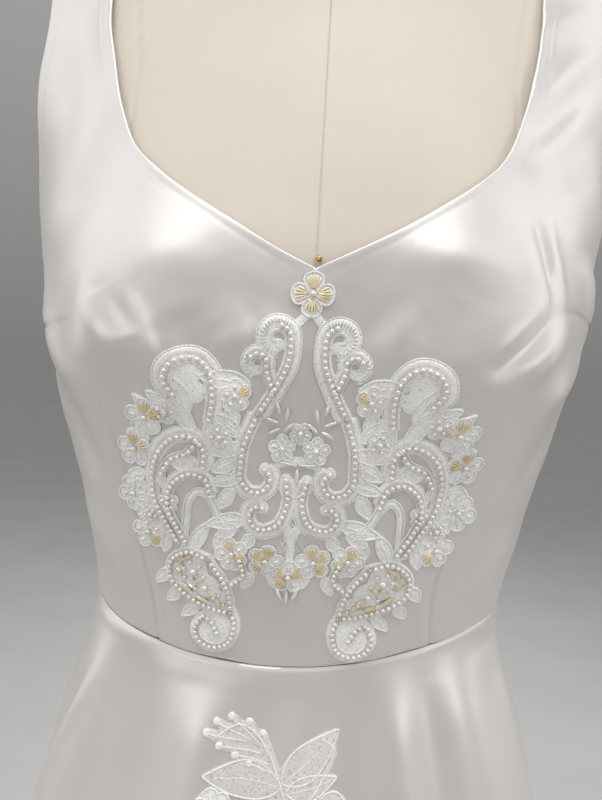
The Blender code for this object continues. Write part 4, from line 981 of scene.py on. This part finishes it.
def petal_ways(flower):
    return [math.radians(flower.turn + 360.0 * petal / flower.petals) for petal in range(flower.petals)]


def petal_loop(x, z, way, size, width, count=14):
    """A round petal's outline, its root near the flower's centre."""
    turn = np.linspace(0, 2 * math.pi, count, endpoint=False)
    along = size * (0.60 - 0.42 * np.cos(turn))
    across = width / 2 * np.sin(turn) * (0.72 + 0.34 * (along / size))
    c, s = math.cos(way), math.sin(way)
    return np.column_stack([x + along * c - across * s, z + along * s + across * c])


PETAL_WIDTH, WIDE_PETAL = 0.86, 1.02
GOLD_FAN, FAN_STEP = (-2, -1, 0, 1, 2), 0.21


def stitch_leaf(work, leaf):
    loop = leaf_loop(leaf)
    work.pads.pad(loop, 0.7, crease=0.35)
    work.cords.cord(rounded_path(loop, 0.75, True), 0.42, closed=True)
    t = np.linspace(0.1, 0.85, 8)[:, None]
    vein = np.array([leaf.x0, leaf.z0]) + t * np.array([leaf.x1 - leaf.x0, leaf.z1 - leaf.z0])
    work.cords.cord(vein, 0.3, 0.85)


def stitch_flower(work, flower):
    for petal, way in enumerate(petal_ways(flower)):
        width = flower.size * (PETAL_WIDTH if flower.petals == 5 else WIDE_PETAL)
        loop = petal_loop(flower.x, flower.z, way, flower.size, width)
        work.pads.pad(loop, 0.75)
        work.cords.cord(rounded_path(loop, 0.75, True), 0.46, 0.8, True)
        if petal in flower.gold:
            for step in GOLD_FAN:
                turned = way + step * FAN_STEP
                near, far = 0.26, 0.88 - 0.045 * abs(step)
                half = ((far - near) / 2 * flower.size, 0.50, 0.50)
                x, z = off_centre(flower, turned, (near + far) / 2)
                work.gold_beads.add("bugle", x, z, 1.25 - 0.12 * abs(step), half, math.degrees(turned))
        elif flower.fill == "pearls":
            work.pearls.add("ball", *off_centre(flower, way, 0.55), 1.45, (1.05,) * 3)
        elif flower.fill == "silver":
            x, z = off_centre(flower, way, 0.6)
            work.silver_beads.add("seed", x, z, 1.2, (1.5, 0.6, 0.6), math.degrees(way))
    work.pearls.add("ball", flower.x, flower.z, 1.8, (1.4,) * 3)


def lace_depth(x, z, discs):
    depth = np.full(x.shape, -1e9)
    for disc_x, disc_z, radius in discs:
        depth = np.maximum(depth, radius - np.hypot(x - disc_x, z - disc_z))
    return depth


def cut_sheet(x, z, depth, triangles):
    """Keep the part of a triangle grid where depth is above zero, cutting its edge triangles."""
    points, index_of, faces = [], {}, []

    def corner(a):
        if a not in index_of:
            index_of[a] = len(points)
            points.append((x[a], z[a]))
        return index_of[a]

    def crossing(a, b):
        low, high = min(a, b), max(a, b)
        if (low, high) not in index_of:
            t = np.clip(depth[low] / (depth[low] - depth[high]), 0.1, 0.9)
            index_of[low, high] = len(points)
            points.append((x[low] + t * (x[high] - x[low]), z[low] + t * (z[high] - z[low])))
        return index_of[low, high]

    inside = depth > 0
    for triangle in triangles:
        if not inside[list(triangle)].any():
            continue
        loop = []
        for a, b in zip(triangle, triangle[1:] + triangle[:1]):
            if inside[a]:
                loop.append(corner(a))
            if inside[a] != inside[b]:
                loop.append(crossing(a, b))
        faces += [(loop[0], loop[i], loop[i + 1]) for i in range(1, len(loop) - 1)]
    return np.array(points), faces


def ground(name, discs, place, finish, cell, lean=True):
    """The dense embroidered ground under the motifs, a thin sheet with its gaps cut through."""
    low, high = discs.min(axis=0) - 4, discs.max(axis=0) + 4
    rows = int((high[1] - low[1]) / (cell * ROW_SHARE)) + 2
    columns = int((high[0] - low[0]) / cell) + 2
    row, column = np.meshgrid(np.arange(rows), np.arange(columns), indexing="ij")
    x = (low[0] + (column + 0.5 * (row % 2)) * cell).ravel()
    z = (low[1] + row * cell * ROW_SHARE).ravel()
    triangles = []
    for r in range(rows - 1):
        for c in range(columns - 1):
            a = r * columns + c
            b, g, d = a + 1, a + columns, a + columns + 1
            triangles += [(a, b, g), (b, d, g)] if r % 2 == 0 else [(a, d, g), (a, b, d)]
    points, faces = cut_sheet(x, z, lace_depth(x, z, discs), triangles)
    rng = np.random.default_rng(ROUGHEN_SEED)
    depth = lace_depth(points[:, 0], points[:, 1], discs)
    thick = GROUND_THICK * (0.35 + 0.65 * smoothstep(0, 1.4, depth)) + rng.uniform(-0.10, 0.10, len(points))
    x, z = leaned(points[:, 0], points[:, 1]) if lean else (points[:, 0], points[:, 1])
    outer = place(x, z, GROUND_LIFT + thick)
    inner = place(x, z, np.full(len(points), GROUND_LIFT))
    return walled(name, outer, inner, np.array(faces), finish)


def discs_along(path, radius):
    path = rounded_path(path, 1.4)
    return np.column_stack([path, np.full(len(path), radius)])


def flower_discs(flower, petal_share):
    rows = [(flower.x, flower.z, flower.size * 0.5)]
    rows += [(*off_centre(flower, way, 0.6), flower.size * petal_share) for way in petal_ways(flower)]
    return np.array(rows)


def bodice_discs():
    side = [discs_along(scroll.path, scroll.radius) for scroll in SCROLLS]
    side += [leaf_discs(leaf, 0.6) for leaf in LEAVES] + [flower_discs(flower, 0.42) for flower in FLOWERS]
    side = np.vstack(side + [np.array(FILLS, dtype=float)])
    middle = [flower_discs(flower, 0.42) for flower in MIDDLE_FLOWERS]
    middle += [discs_along(path, 2.0) for path in MIDDLE_BARS]
    return np.vstack([side, side * np.array([-1.0, 1.0, 1.0]), np.vstack(middle)])


def netting(cords, corners, pitch, slope):
    """Two crossing sets of strands laid inside a triangle."""
    corners = np.array(corners, dtype=float)
    centre = corners.mean(axis=0)
    for hand in (1, -1):
        way = np.array([math.cos(math.radians(slope)), hand * math.sin(math.radians(slope))])
        side = np.array([way[1], -way[0]])
        reach = (corners - centre) @ side
        for offset in np.arange(math.ceil(reach.min() / pitch), math.floor(reach.max() / pitch) + 1) * pitch:
            t = np.linspace(-30, 30, 241)
            line = centre + side * offset + t[:, None] * way
            inside = np.ones(len(t), bool)
            for a, b in zip(corners, np.roll(corners, -1, axis=0)):
                run, inward = b - a, centre - a
                turn = run[0] * (line[:, 1] - a[1]) - run[1] * (line[:, 0] - a[0])
                inside &= turn * (run[0] * inward[1] - run[1] * inward[0]) > 0
            if inside.sum() > 6:
                line = line[inside]
                cords.cord(line[::3], 0.17, 0.55, twist=0.0)


def fringe(silver, path, start, stop, shift, pitch=1.15):
    """Small silver beads across a band, at the head of a curl."""
    side = sides_of(path)
    step = max(1, int(round(pitch / np.linalg.norm(path[1] - path[0]))))
    for i in range(start, min(stop, len(path) - 1), step):
        x, z = path[i] + side[i] * shift
        way = math.degrees(math.atan2(side[i][1], side[i][0]))
        silver.add("bugle", x, z, 1.35, FRINGE_BUGLE, way)


def bodice_lace():
    """The bodice's applique: its ground, and the cords, bands, pads and beads on it."""
    work = lace_work()
    cords, bands, _, pearls, gold, silver = work
    for scroll in SCROLLS:
        path = rounded_path(scroll.path, SCROLL_STEP)
        if scroll.pearls:
            pearls.row(path[int(scroll.bare / SCROLL_STEP):])
        if scroll.band:
            half = BAND_HALF if scroll.radius > 2.5 else NARROW_BAND
            reach = scroll.radius - 0.1 if scroll.pearls else 0.0
            bands.band(shifted(path, scroll.band * reach), half)
            cords.cord(shifted(path, scroll.band * (reach + half + 0.25)), 0.30, 0.55)
        cords.cord(shifted(path, (scroll.band or 1) * -1.9), 0.36, 0.75)
        if scroll.bare:
            fringe(silver, path, 2, int(scroll.bare * 2.1), 2.0)
    for leaf in LEAVES:
        stitch_leaf(work, leaf)
    for flower in FLOWERS:
        stitch_flower(work, flower)
    for x, z, way in SILVER_SPRAY:
        silver.add("seed", x, z, 1.2, SPRAY_SEED, way)
    silver.add("bugle", 4.6, 95.6, 1.4, LONG_BUGLE, 10)
    for x, z in LEAF_BLOSSOMS:
        silver.add("blossom", x, z, 1.0, BLOSSOM_HALF, 40)
    for x, z, way in LEAF_GOLD:
        gold.add("seed", x, z, 1.2, GOLD_SEED, way)
    for x, z, radius in LEAF_PEARLS:
        pearls.add("ball", x, z, radius + 0.5, (radius,) * 3)
    for item in work:
        item.mirror()
    for flower in MIDDLE_FLOWERS:
        stitch_flower(work, flower)
    cords.cord(rounded_path(MIDDLE_BARS[0], 0.6), 0.5, 0.8)
    netting(cords, NET_CORNERS, NET_PITCH, NET_SLOPE)
    for x, z, way in MIDDLE_SEEDS:
        silver.add("seed", x, z, 1.1, MIDDLE_SEED, way)
    base = ground("bodice_lace_ground", bodice_discs(), on_bodice, MATERIALS["lace"], BODICE_CELL)
    return base, lace_pieces("bodice_lace", work, on_bodice)


# The skirt's spray: x and z of a stem and its leaves, each leaf with a stitched outline and veins
SPRAY_STEMS = [
    [(-36, -42), (-24, -36), (-12, -45), (-2, -64), (6, -88), (3, -114), (-8, -134)],
    [(2, -76), (14, -62), (22, -46), (16, -39)],
    [(5, -104), (20, -110), (31, -124), (26, -138)],
    [(4, -92), (-12, -90), (-28, -98), (-34, -112), (-26, -120)],
]
SPRAY_LEAVES = [Leaf(*row) for row in (
    (-2, -60, 24, -36, 15), (0, -64, 24, -57, 11), (-3, -62, -40, -59, 17), (2, -70, -18, -86, 15),
    (3, -68, 17, -84, 15), (6, -88, 27, -84, 13), (20, -110, 34, -102, 11), (-28, -98, -32, -78, 11),
    (3, -114, 14, -134, 12), (-8, -88, -26, -84, 11), (31, -124, 44, -128, 9), (-34, -112, -42, -100, 8),
    (16, -66, 30, -72, 11), (-8, -134, -2, -148, 10), (-26, -120, -14, -126, 9), (26, -138, 18, -148, 8))]
SPRAY_FLOWERS = [Flower(*row) for row in (
    (-35, -72, 8, 5, 30, "none"), (-16, -142, 9, 5, 15, "pearls"), (24, -96, 8.5, 5, 0, "pearls"),
    (-12, -110, 8.5, 5, 30, "pearls"), (0, -99, 8, 5, 60, "pearls", (0, 2)))]
FROND = [(-13, -40), (-20, -35), (-28.5, -32.5), (-35.5, -35), (-40, -40), (-33.5, -45.5), (-26, -50),
         (-19, -54)]
FROND_ROOTS = [(-6, -54), (-9, -50), (-13, -46), (-17, -44), (-20, -44), (-13, -49), (-9, -53), (-6, -57)]


# Radius and lift of the spray's cords
STEM_CORD, FROND_CORD, LEAF_CORD = (0.42, 0.6), (0.3, 0.6), (0.34, 0.6)
MIDRIB_CORD, VEIN_CORD = (0.24, 0.55), (0.17, 0.5)
VEIN_ROOTS, VEIN_RUN = (0.22, 0.38, 0.54, 0.70), 0.13


def skirt_discs():
    rows = [discs_along(stem, 1.8) for stem in SPRAY_STEMS]
    rows += [discs_along([root, tip], 2.2) for root, tip in zip(FROND_ROOTS, FROND)]
    rows += [leaf_discs(leaf, 0.5) for leaf in SPRAY_LEAVES]
    rows.append(np.array([(flower.x, flower.z, flower.size) for flower in SPRAY_FLOWERS]))
    return np.vstack(rows)


def skirt_lace():
    """The spray on the skirt: fine thread outlines on a sheer ground, with a few pearls."""
    work = lace_work()
    cords, pads = work.cords, work.pads
    for stem in SPRAY_STEMS:
        cords.cord(rounded_path(stem, 0.7), *STEM_CORD)
    for root, tip in zip(FROND_ROOTS, FROND):
        cords.cord(rounded_path([root, tip], 0.7), *FROND_CORD)
        pads.pad(np.array(spiral(*tip, 1.9, 1.9, 0, 1))[:-1], 1.0)
    for leaf in SPRAY_LEAVES:
        loop = leaf_loop(leaf, 24)
        cords.cord(rounded_path(loop, 0.8, True), *LEAF_CORD, closed=True)
        root = np.array([leaf.x0, leaf.z0])
        run = np.array([leaf.x1 - leaf.x0, leaf.z1 - leaf.z0])
        side = np.array([run[1], -run[0]]) / np.linalg.norm(run)
        cords.cord(root + np.linspace(0.02, 0.92, 24)[:, None] * run, *MIDRIB_CORD)
        for t in VEIN_ROOTS:
            for hand in (1, -1):
                reach = leaf.width / 2 * math.sin(math.pi * t ** 0.8) * 0.8
                ends = [root + t * run, root + (t + VEIN_RUN) * run + hand * side * reach]
                cords.cord(rounded_path(ends, 0.9), *VEIN_CORD)
    for flower in SPRAY_FLOWERS:
        stitch_flower(work, flower)
    base = ground("skirt_lace_ground", skirt_discs(), on_skirt, MATERIALS["sheer"], SKIRT_CELL, lean=False)
    return base, lace_pieces("skirt_lace", work, on_skirt, lean=False)


# Zip coil on its tape, seen in the gap between the backs
TAPE_GAP, COIL_PITCH, COIL_HALF = 0.45, 1.1, (1.6, 0.33, 0.18)
COIL_LOW, COIL_TOP = 4.0, 283.0


def zip_coil():
    heights = np.arange(COIL_LOW, COIL_TOP, COIL_PITCH)
    off_form = CLOTH_EASE - TAPE_GAP + COIL_HALF[2]
    centre = moved_out(form_point, np.full(len(heights), 180.0), heights, off_form)
    template, template_faces = lathe([(-1, 0.5), (-0.8, 1.0), (0.8, 1.0), (1, 0.5)], 6)
    local = template * np.array([COIL_HALF[0], COIL_HALF[2], COIL_HALF[1]])
    points = (centre[:, None, :] + local[None]).reshape(-1, 3)
    faces = sum((moved_faces(template_faces, i * len(template)) for i in range(len(heights))), [])
    coil = make_object("zip_coil", points, faces, MATERIALS["thread"])
    outward(coil)
    return coil


# Materials
BRUSHED = (1.0, 1.0, 0.1)


def new_material(name, colour, roughness, **inputs):
    """A material; an input's name is given with _ for its spaces."""
    made = bpy.data.materials.new(name)
    made.use_nodes = True
    shader = made.node_tree.nodes["Principled BSDF"]
    shader.inputs["Base Color"].default_value = (*colour, 1.0)
    shader.inputs["Roughness"].default_value = roughness
    for key, value in inputs.items():
        shader.inputs[key.replace("_", " ")].default_value = value
    return made, made.node_tree, shader


def node(tree, kind, **values):
    """A node; a value goes to the input of its name, or else to the node's own setting."""
    made = tree.nodes.new(kind)
    for key, value in values.items():
        if key.replace("_", " ") in made.inputs:
            made.inputs[key.replace("_", " ")].default_value = value
        else:
            setattr(made, key, value)
    return made


def place_of(tree, scale=(1.0, 1.0, 1.0)):
    """Object coordinates in metres, stretched by a scale."""
    where = node(tree, "ShaderNodeTexCoord")
    mapping = node(tree, "ShaderNodeMapping")
    mapping.inputs["Scale"].default_value = scale
    tree.links.new(where.outputs["Object"], mapping.inputs["Vector"])
    return mapping.outputs["Vector"]


def ramp(tree, factor, target, low, high, low_at, high_at):
    """A colour input that runs between two colours with a factor."""
    made = node(tree, "ShaderNodeValToRGB")
    for stop, colour, position in zip(made.color_ramp.elements, (low, high), (low_at, high_at)):
        stop.position = position
        stop.color = (*colour, 1.0)
    tree.links.new(factor, made.inputs["Fac"])
    tree.links.new(made.outputs["Color"], target)


def tone(tree, shader, factor, low, high, low_at=0.3, high_at=0.7):
    ramp(tree, factor, shader.inputs["Base Color"], low, high, low_at, high_at)


def uneven_roughness(tree, shader, scale, low, high):
    made = node(tree, "ShaderNodeMapRange", To_Min=low, To_Max=high)
    tree.links.new(noise(tree, scale), made.inputs["Value"])
    tree.links.new(made.outputs["Result"], shader.inputs["Roughness"])


def bump(tree, shader, height, strength, distance, under=None):
    made = node(tree, "ShaderNodeBump", Strength=strength, Distance=distance)
    tree.links.new(height, made.inputs["Height"])
    if under is not None:
        tree.links.new(under, made.inputs["Normal"])
    tree.links.new(made.outputs["Normal"], shader.inputs["Normal"])
    return made.outputs["Normal"]


def noise(tree, scale, detail=3.0, vector=None):
    made = node(tree, "ShaderNodeTexNoise", Scale=scale, Detail=detail)
    tree.links.new(vector if vector is not None else place_of(tree), made.inputs["Vector"])
    return made.outputs["Fac"]


def weave(tree, threads_per_metre):
    """Two sets of threads that cross, as a height."""
    vector = place_of(tree)
    cross = node(tree, "ShaderNodeMath", operation="MULTIPLY")
    for place, direction in enumerate("XZ"):
        wave = node(tree, "ShaderNodeTexWave", Scale=threads_per_metre / math.pi, bands_direction=direction)
        tree.links.new(vector, wave.inputs["Vector"])
        tree.links.new(wave.outputs["Fac"], cross.inputs[place])
    return cross.outputs[0]


def satin():
    made, tree, shader = new_material(
        "satin", (0.71, 0.68, 0.655), 0.40, Metallic=0.38, Specular_IOR_Level=0.70, Coat_Weight=0.15,
        Coat_Roughness=0.30, Anisotropic=0.4)
    tone(tree, shader, noise(tree, 14.0), (0.70, 0.675, 0.655), (0.73, 0.71, 0.69))
    uneven_roughness(tree, shader, 22.0, 0.34, 0.43)
    slubs = noise(tree, 260.0, 2.0, place_of(tree, (1.0, 1.0, 0.12)))
    first = bump(tree, shader, slubs, 0.10, 0.0004)
    bump(tree, shader, weave(tree, 2600.0), 0.12, 0.00008, first)
    return made


def muslin():
    made, tree, shader = new_material("muslin", (0.74, 0.67, 0.56), 0.88, Sheen_Weight=0.12)
    tone(tree, shader, noise(tree, 9.0, 5.0), (0.69, 0.63, 0.545), (0.75, 0.695, 0.61))
    first = bump(tree, shader, noise(tree, 420.0, 3.0, place_of(tree, (1.0, 1.0, 0.3))), 0.22, 0.0003)
    bump(tree, shader, weave(tree, 1900.0), 0.15, 0.0001, first)
    return made


# Share of the thread's colour kept in the painted shade of its crevices, the low places of its bump
PAINTED_CREVICE_SHADE = 0.72


def thread(name, colour, scale, strength):
    """Stitched thread: fine ridges in broken directions, with painted shade that darkens the colour in the
    low places of the ridges.
    """
    made, tree, shader = new_material(name, colour, 0.55, Sheen_Weight=0.35, Sheen_Roughness=0.4,
                                      Specular_IOR_Level=0.45)
    low = tuple(channel * PAINTED_CREVICE_SHADE for channel in colour)
    # Painted shade: the same noise as the bump below darkens the colour where the thread's ridges are low
    tone(tree, shader, noise(tree, scale, 2.0), low, colour, 0.30, 0.48)
    bump(tree, shader, noise(tree, scale, 2.0), strength, 0.0006)
    return made


def beads(name, low, high, roughness, metallic, thin_film=0.0):
    made, tree, shader = new_material(name, high, roughness, Metallic=metallic, Coat_Weight=0.8,
                                      Coat_Roughness=0.08, Thin_Film_Thickness=thin_film)
    tone(tree, shader, noise(tree, 70.0, 2.0), low, high)
    bump(tree, shader, noise(tree, 900.0, 1.0), 0.05, 0.0002)
    return made


def metal(name, low, high, roughness):
    made, tree, shader = new_material(name, high, roughness, Metallic=1.0)
    tone(tree, shader, noise(tree, 60.0, 4.0), low, high)
    uneven_roughness(tree, shader, 90.0, roughness * 0.8, roughness * 1.25)
    bump(tree, shader, noise(tree, 1500.0, 2.0, place_of(tree, BRUSHED)), 0.06, 0.0001)
    return made


def tape():
    made, tree, shader = new_material("zip_tape", (0.80, 0.78, 0.75), 0.8)
    tone(tree, shader, noise(tree, 200.0), (0.76, 0.74, 0.71), (0.84, 0.82, 0.80))
    bump(tree, shader, weave(tree, 1800.0), 0.5, 0.0002)
    return made


MATERIALS = {
    "satin": satin(),
    "muslin": muslin(),
    "lace": thread("lace", (0.97, 0.96, 0.94), 1100.0, 0.8),
    "sheer": thread("sheer", (0.76, 0.74, 0.72), 700.0, 0.35),
    "thread": thread("thread", (0.98, 0.975, 0.965), 1500.0, 0.6),
    "pearl": beads("pearl", (0.80, 0.76, 0.70), (0.90, 0.87, 0.83), 0.16, 0.35),
    "gold_bead": beads("gold_bead", (0.74, 0.60, 0.34), (0.90, 0.82, 0.62), 0.14, 0.12),
    "silver_bead": beads("silver_bead", (0.78, 0.79, 0.80), (0.93, 0.93, 0.94), 0.12, 0.25, thin_film=250.0),
    "form_plate": thread("form_plate", (0.66, 0.59, 0.48), 500.0, 0.2),
    "pin_brass": metal("pin_brass", (0.50, 0.34, 0.12), (0.66, 0.47, 0.18), 0.25),
    "zip_tape": tape(),
    "zip_metal": metal("zip_metal", (0.66, 0.66, 0.65), (0.78, 0.77, 0.75), 0.28),
    "stand_metal": metal("stand_metal", (0.07, 0.07, 0.08), (0.12, 0.12, 0.13), 0.42),
}


# Dress form
FRONT_SEAM_HEIGHTS = [-285, 0, 100, 160, 230, 290, 340, 372]
FRONT_SEAM_ANGLES = [34, 30, 36, 41, 47, 54, 64, 78]
BACK_SEAM = 142.0
FORM_ROUND = 110
TAPE_LEVELS = (0.0, -200.0, 420.0)


def form_relief(angle, height):
    """Seams and level lines sewn into the form's cover."""
    x = wrapped(angle)
    curved = np.interp(height, FRONT_SEAM_HEIGHTS, FRONT_SEAM_ANGLES)
    relief = np.zeros(np.broadcast(x, height).shape)
    for line in (0.0, curved, -curved, 90.0, -90.0, BACK_SEAM, -BACK_SEAM, 180.0):
        away = np.abs(wrapped(x - line)) * math.pi / 180 * FORM_ROUND
        relief += 0.20 * bell((away - 1.6) / 1.0) - 0.80 * bell(away / 0.5)
        relief += 0.12 * (1 - smoothstep(6, 8, away))
    for level in TAPE_LEVELS:
        relief -= 0.35 * bell((height - level) / 0.6)
    return relief


def form_cover():
    base = np.linspace(0, 360, 121)[:-1]
    extra = []
    for line in (0.0, 90.0, BACK_SEAM, 180.0, 360.0 - BACK_SEAM, 270.0):
        extra += [line + step for step in (-1.2, -0.8, -0.5, -0.25, 0.0, 0.25, 0.5, 0.8, 1.2)]
    turns = np.unique(np.round(np.concatenate([base, np.mod(extra, 360)]), 4))
    front_extra = np.arange(38, 80, 0.5)
    turns = np.unique(np.round(np.concatenate([turns, front_extra, 360 - front_extra]), 4))
    heights = np.unique(np.concatenate([
        np.linspace(-285, 140, 26), np.linspace(140, 355, 70), np.linspace(355, 425, 40),
        np.linspace(425, 480, 12), [-0.6, 0.0, 0.6, -200.6, -200.0, -199.4, 419.4, 420.6]]))
    angle, height = np.meshgrid(turns, heights)
    points = moved_out(form_point, angle, height, form_relief(angle, height))
    faces = tube_faces(len(heights), len(turns))
    return make_object("form_cover", points.reshape(-1, 3), faces, MATERIALS["muslin"], 50)


# Lights, floor and surroundings
Light = namedtuple("Light", "name place aim energy width tall colour")
LIGHTS = [
    Light("key", (-0.1, -0.85, 3.2), (0.0, -0.1, 1.1), 32.0, 1.6, 1.6, (1.0, 0.985, 0.97)),
    Light("left", (-1.9, -0.3, 2.3), (0.0, 0.0, 1.1), 10.0, 1.7, 1.7, (1.0, 0.985, 0.98)),
    Light("right", (1.9, -0.3, 2.3), (0.0, 0.0, 1.1), 11.5, 1.7, 1.7, (1.0, 0.985, 0.98)),
    Light("left low", (-3.3, 0.4, 0.95), (0.0, 0.0, 0.95), 8.0, 1.4, 1.4, (1.0, 0.98, 0.965)),
    Light("right low", (3.3, 0.3, 0.95), (0.0, 0.0, 0.95), 7.0, 1.4, 1.4, (1.0, 0.98, 0.965)),
    Light("left strip", (-3.0, -4.5, 1.75), (0.0, 0.0, 0.55), 34.0, 1.4, 2.3, (1.0, 0.985, 0.97)),
    Light("right strip", (4.2, -3.5, 1.75), (0.0, 0.0, 0.55), 34.0, 1.4, 2.3, (1.0, 0.985, 0.97)),
    Light("rear", (0.4, 1.9, 3.0), (0.0, 0.1, 1.0), 34.0, 1.6, 1.6, (1.0, 1.0, 1.0)),
]


WORLD_STRENGTH = 0.45
LOW_SKY, HIGH_SKY, HIGH_SKY_AT = (0.46, 0.455, 0.45), (0.99, 0.985, 0.98), 0.8
FLOOR_REACH = 14.0


def make_light(light):
    data = bpy.data.lights.new(light.name, "AREA")
    data.shape = "RECTANGLE"
    data.energy, data.color = light.energy, light.colour
    data.size, data.size_y = light.width, light.tall
    thing = link(bpy.data.objects.new(light.name, data))
    thing.visible_camera = False
    thing.location = light.place
    thing.rotation_euler = (Vector(light.aim) - Vector(light.place)).to_track_quat("-Z", "Y").to_euler()


def make_world():
    world = bpy.data.worlds.new("studio")
    bpy.context.scene.world = world
    world.use_nodes = True
    tree = world.node_tree
    sky = tree.nodes["Background"]
    sky.inputs["Strength"].default_value = WORLD_STRENGTH
    parts = node(tree, "ShaderNodeSeparateXYZ")
    tree.links.new(node(tree, "ShaderNodeTexCoord").outputs["Generated"], parts.inputs["Vector"])
    ramp(tree, parts.outputs["Z"], sky.inputs["Color"], LOW_SKY, HIGH_SKY, 0.0, HIGH_SKY_AT)


def make_floor():
    made, tree, shader = new_material("floor", (0.52, 0.52, 0.52), 0.9, Specular_IOR_Level=0.1)
    tone(tree, shader, noise(tree, 3.0), (0.51, 0.51, 0.51), (0.54, 0.54, 0.54))
    mesh = bpy.data.meshes.new("floor")
    corners = [(x * FLOOR_REACH, y * FLOOR_REACH, 0) for x, y in ((-1, -1), (1, -1), (1, 1), (-1, 1))]
    mesh.from_pydata(corners, [], [(0, 1, 2, 3)])
    mesh.materials.append(made)
    floor = link(bpy.data.objects.new("floor", mesh))


def surroundings():
    for light in LIGHTS:
        make_light(light)
    make_world()
    make_floor()
    bpy.context.scene.view_settings.view_transform = "Standard"
    bpy.context.scene.view_settings.exposure = 0.0


def finish_piece(thing, slot, *replaced):
    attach(thing, "dress")
    if replaced:
        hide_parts(*replaced)


CAD_FINISHES = {
    "form_neck_cap": "form_plate", "form_arm_plate_left": "form_plate", "form_arm_plate_right": "form_plate",
    "form_pin": "pin_brass", "zip_tape": "zip_tape", "zip_slider": "zip_metal", "zip_pull": "zip_metal",
    "stand_base": "stand_metal", "stand_flange": "stand_metal", "stand_pole": "stand_metal",
}


# Cloth as it was cut: width and length in metres, and the area in square metres
Cut = namedtuple("Cut", "width length area")


def main():
    make_camera()
    surroundings()
    cover = form_cover()
    finish_piece(cover, "muslin", "form_torso")
    front = bodice_front()
    finish_piece(front, "satin", "bodice_front")
    for hand, name in ((1, "bodice_back_right"), (-1, "bodice_back_left")):
        back = bodice_back(hand)
        finish_piece(back, "satin", name)
    for name in SKIRT_PANELS:
        panel = skirt_panel(name)
        finish_piece(panel, "satin", name)
        if name == "skirt_front":
            skirt = panel
    finish_piece(zip_coil(), "thread")
    for lace, replaced, under in ((bodice_lace(), "bodice_lace", front), (skirt_lace(), "skirt_lace", skirt)):
        base, pieces = lace
        finish_piece(base, "lace", replaced)
        for piece in pieces:
            finish_piece(piece, LACE_SLOTS[piece.name.split("_lace_")[1]])
    for name, slot in CAD_FINISHES.items():
        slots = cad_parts[name].data.materials
        slots.clear()
        slots.append(MATERIALS[slot])


main()
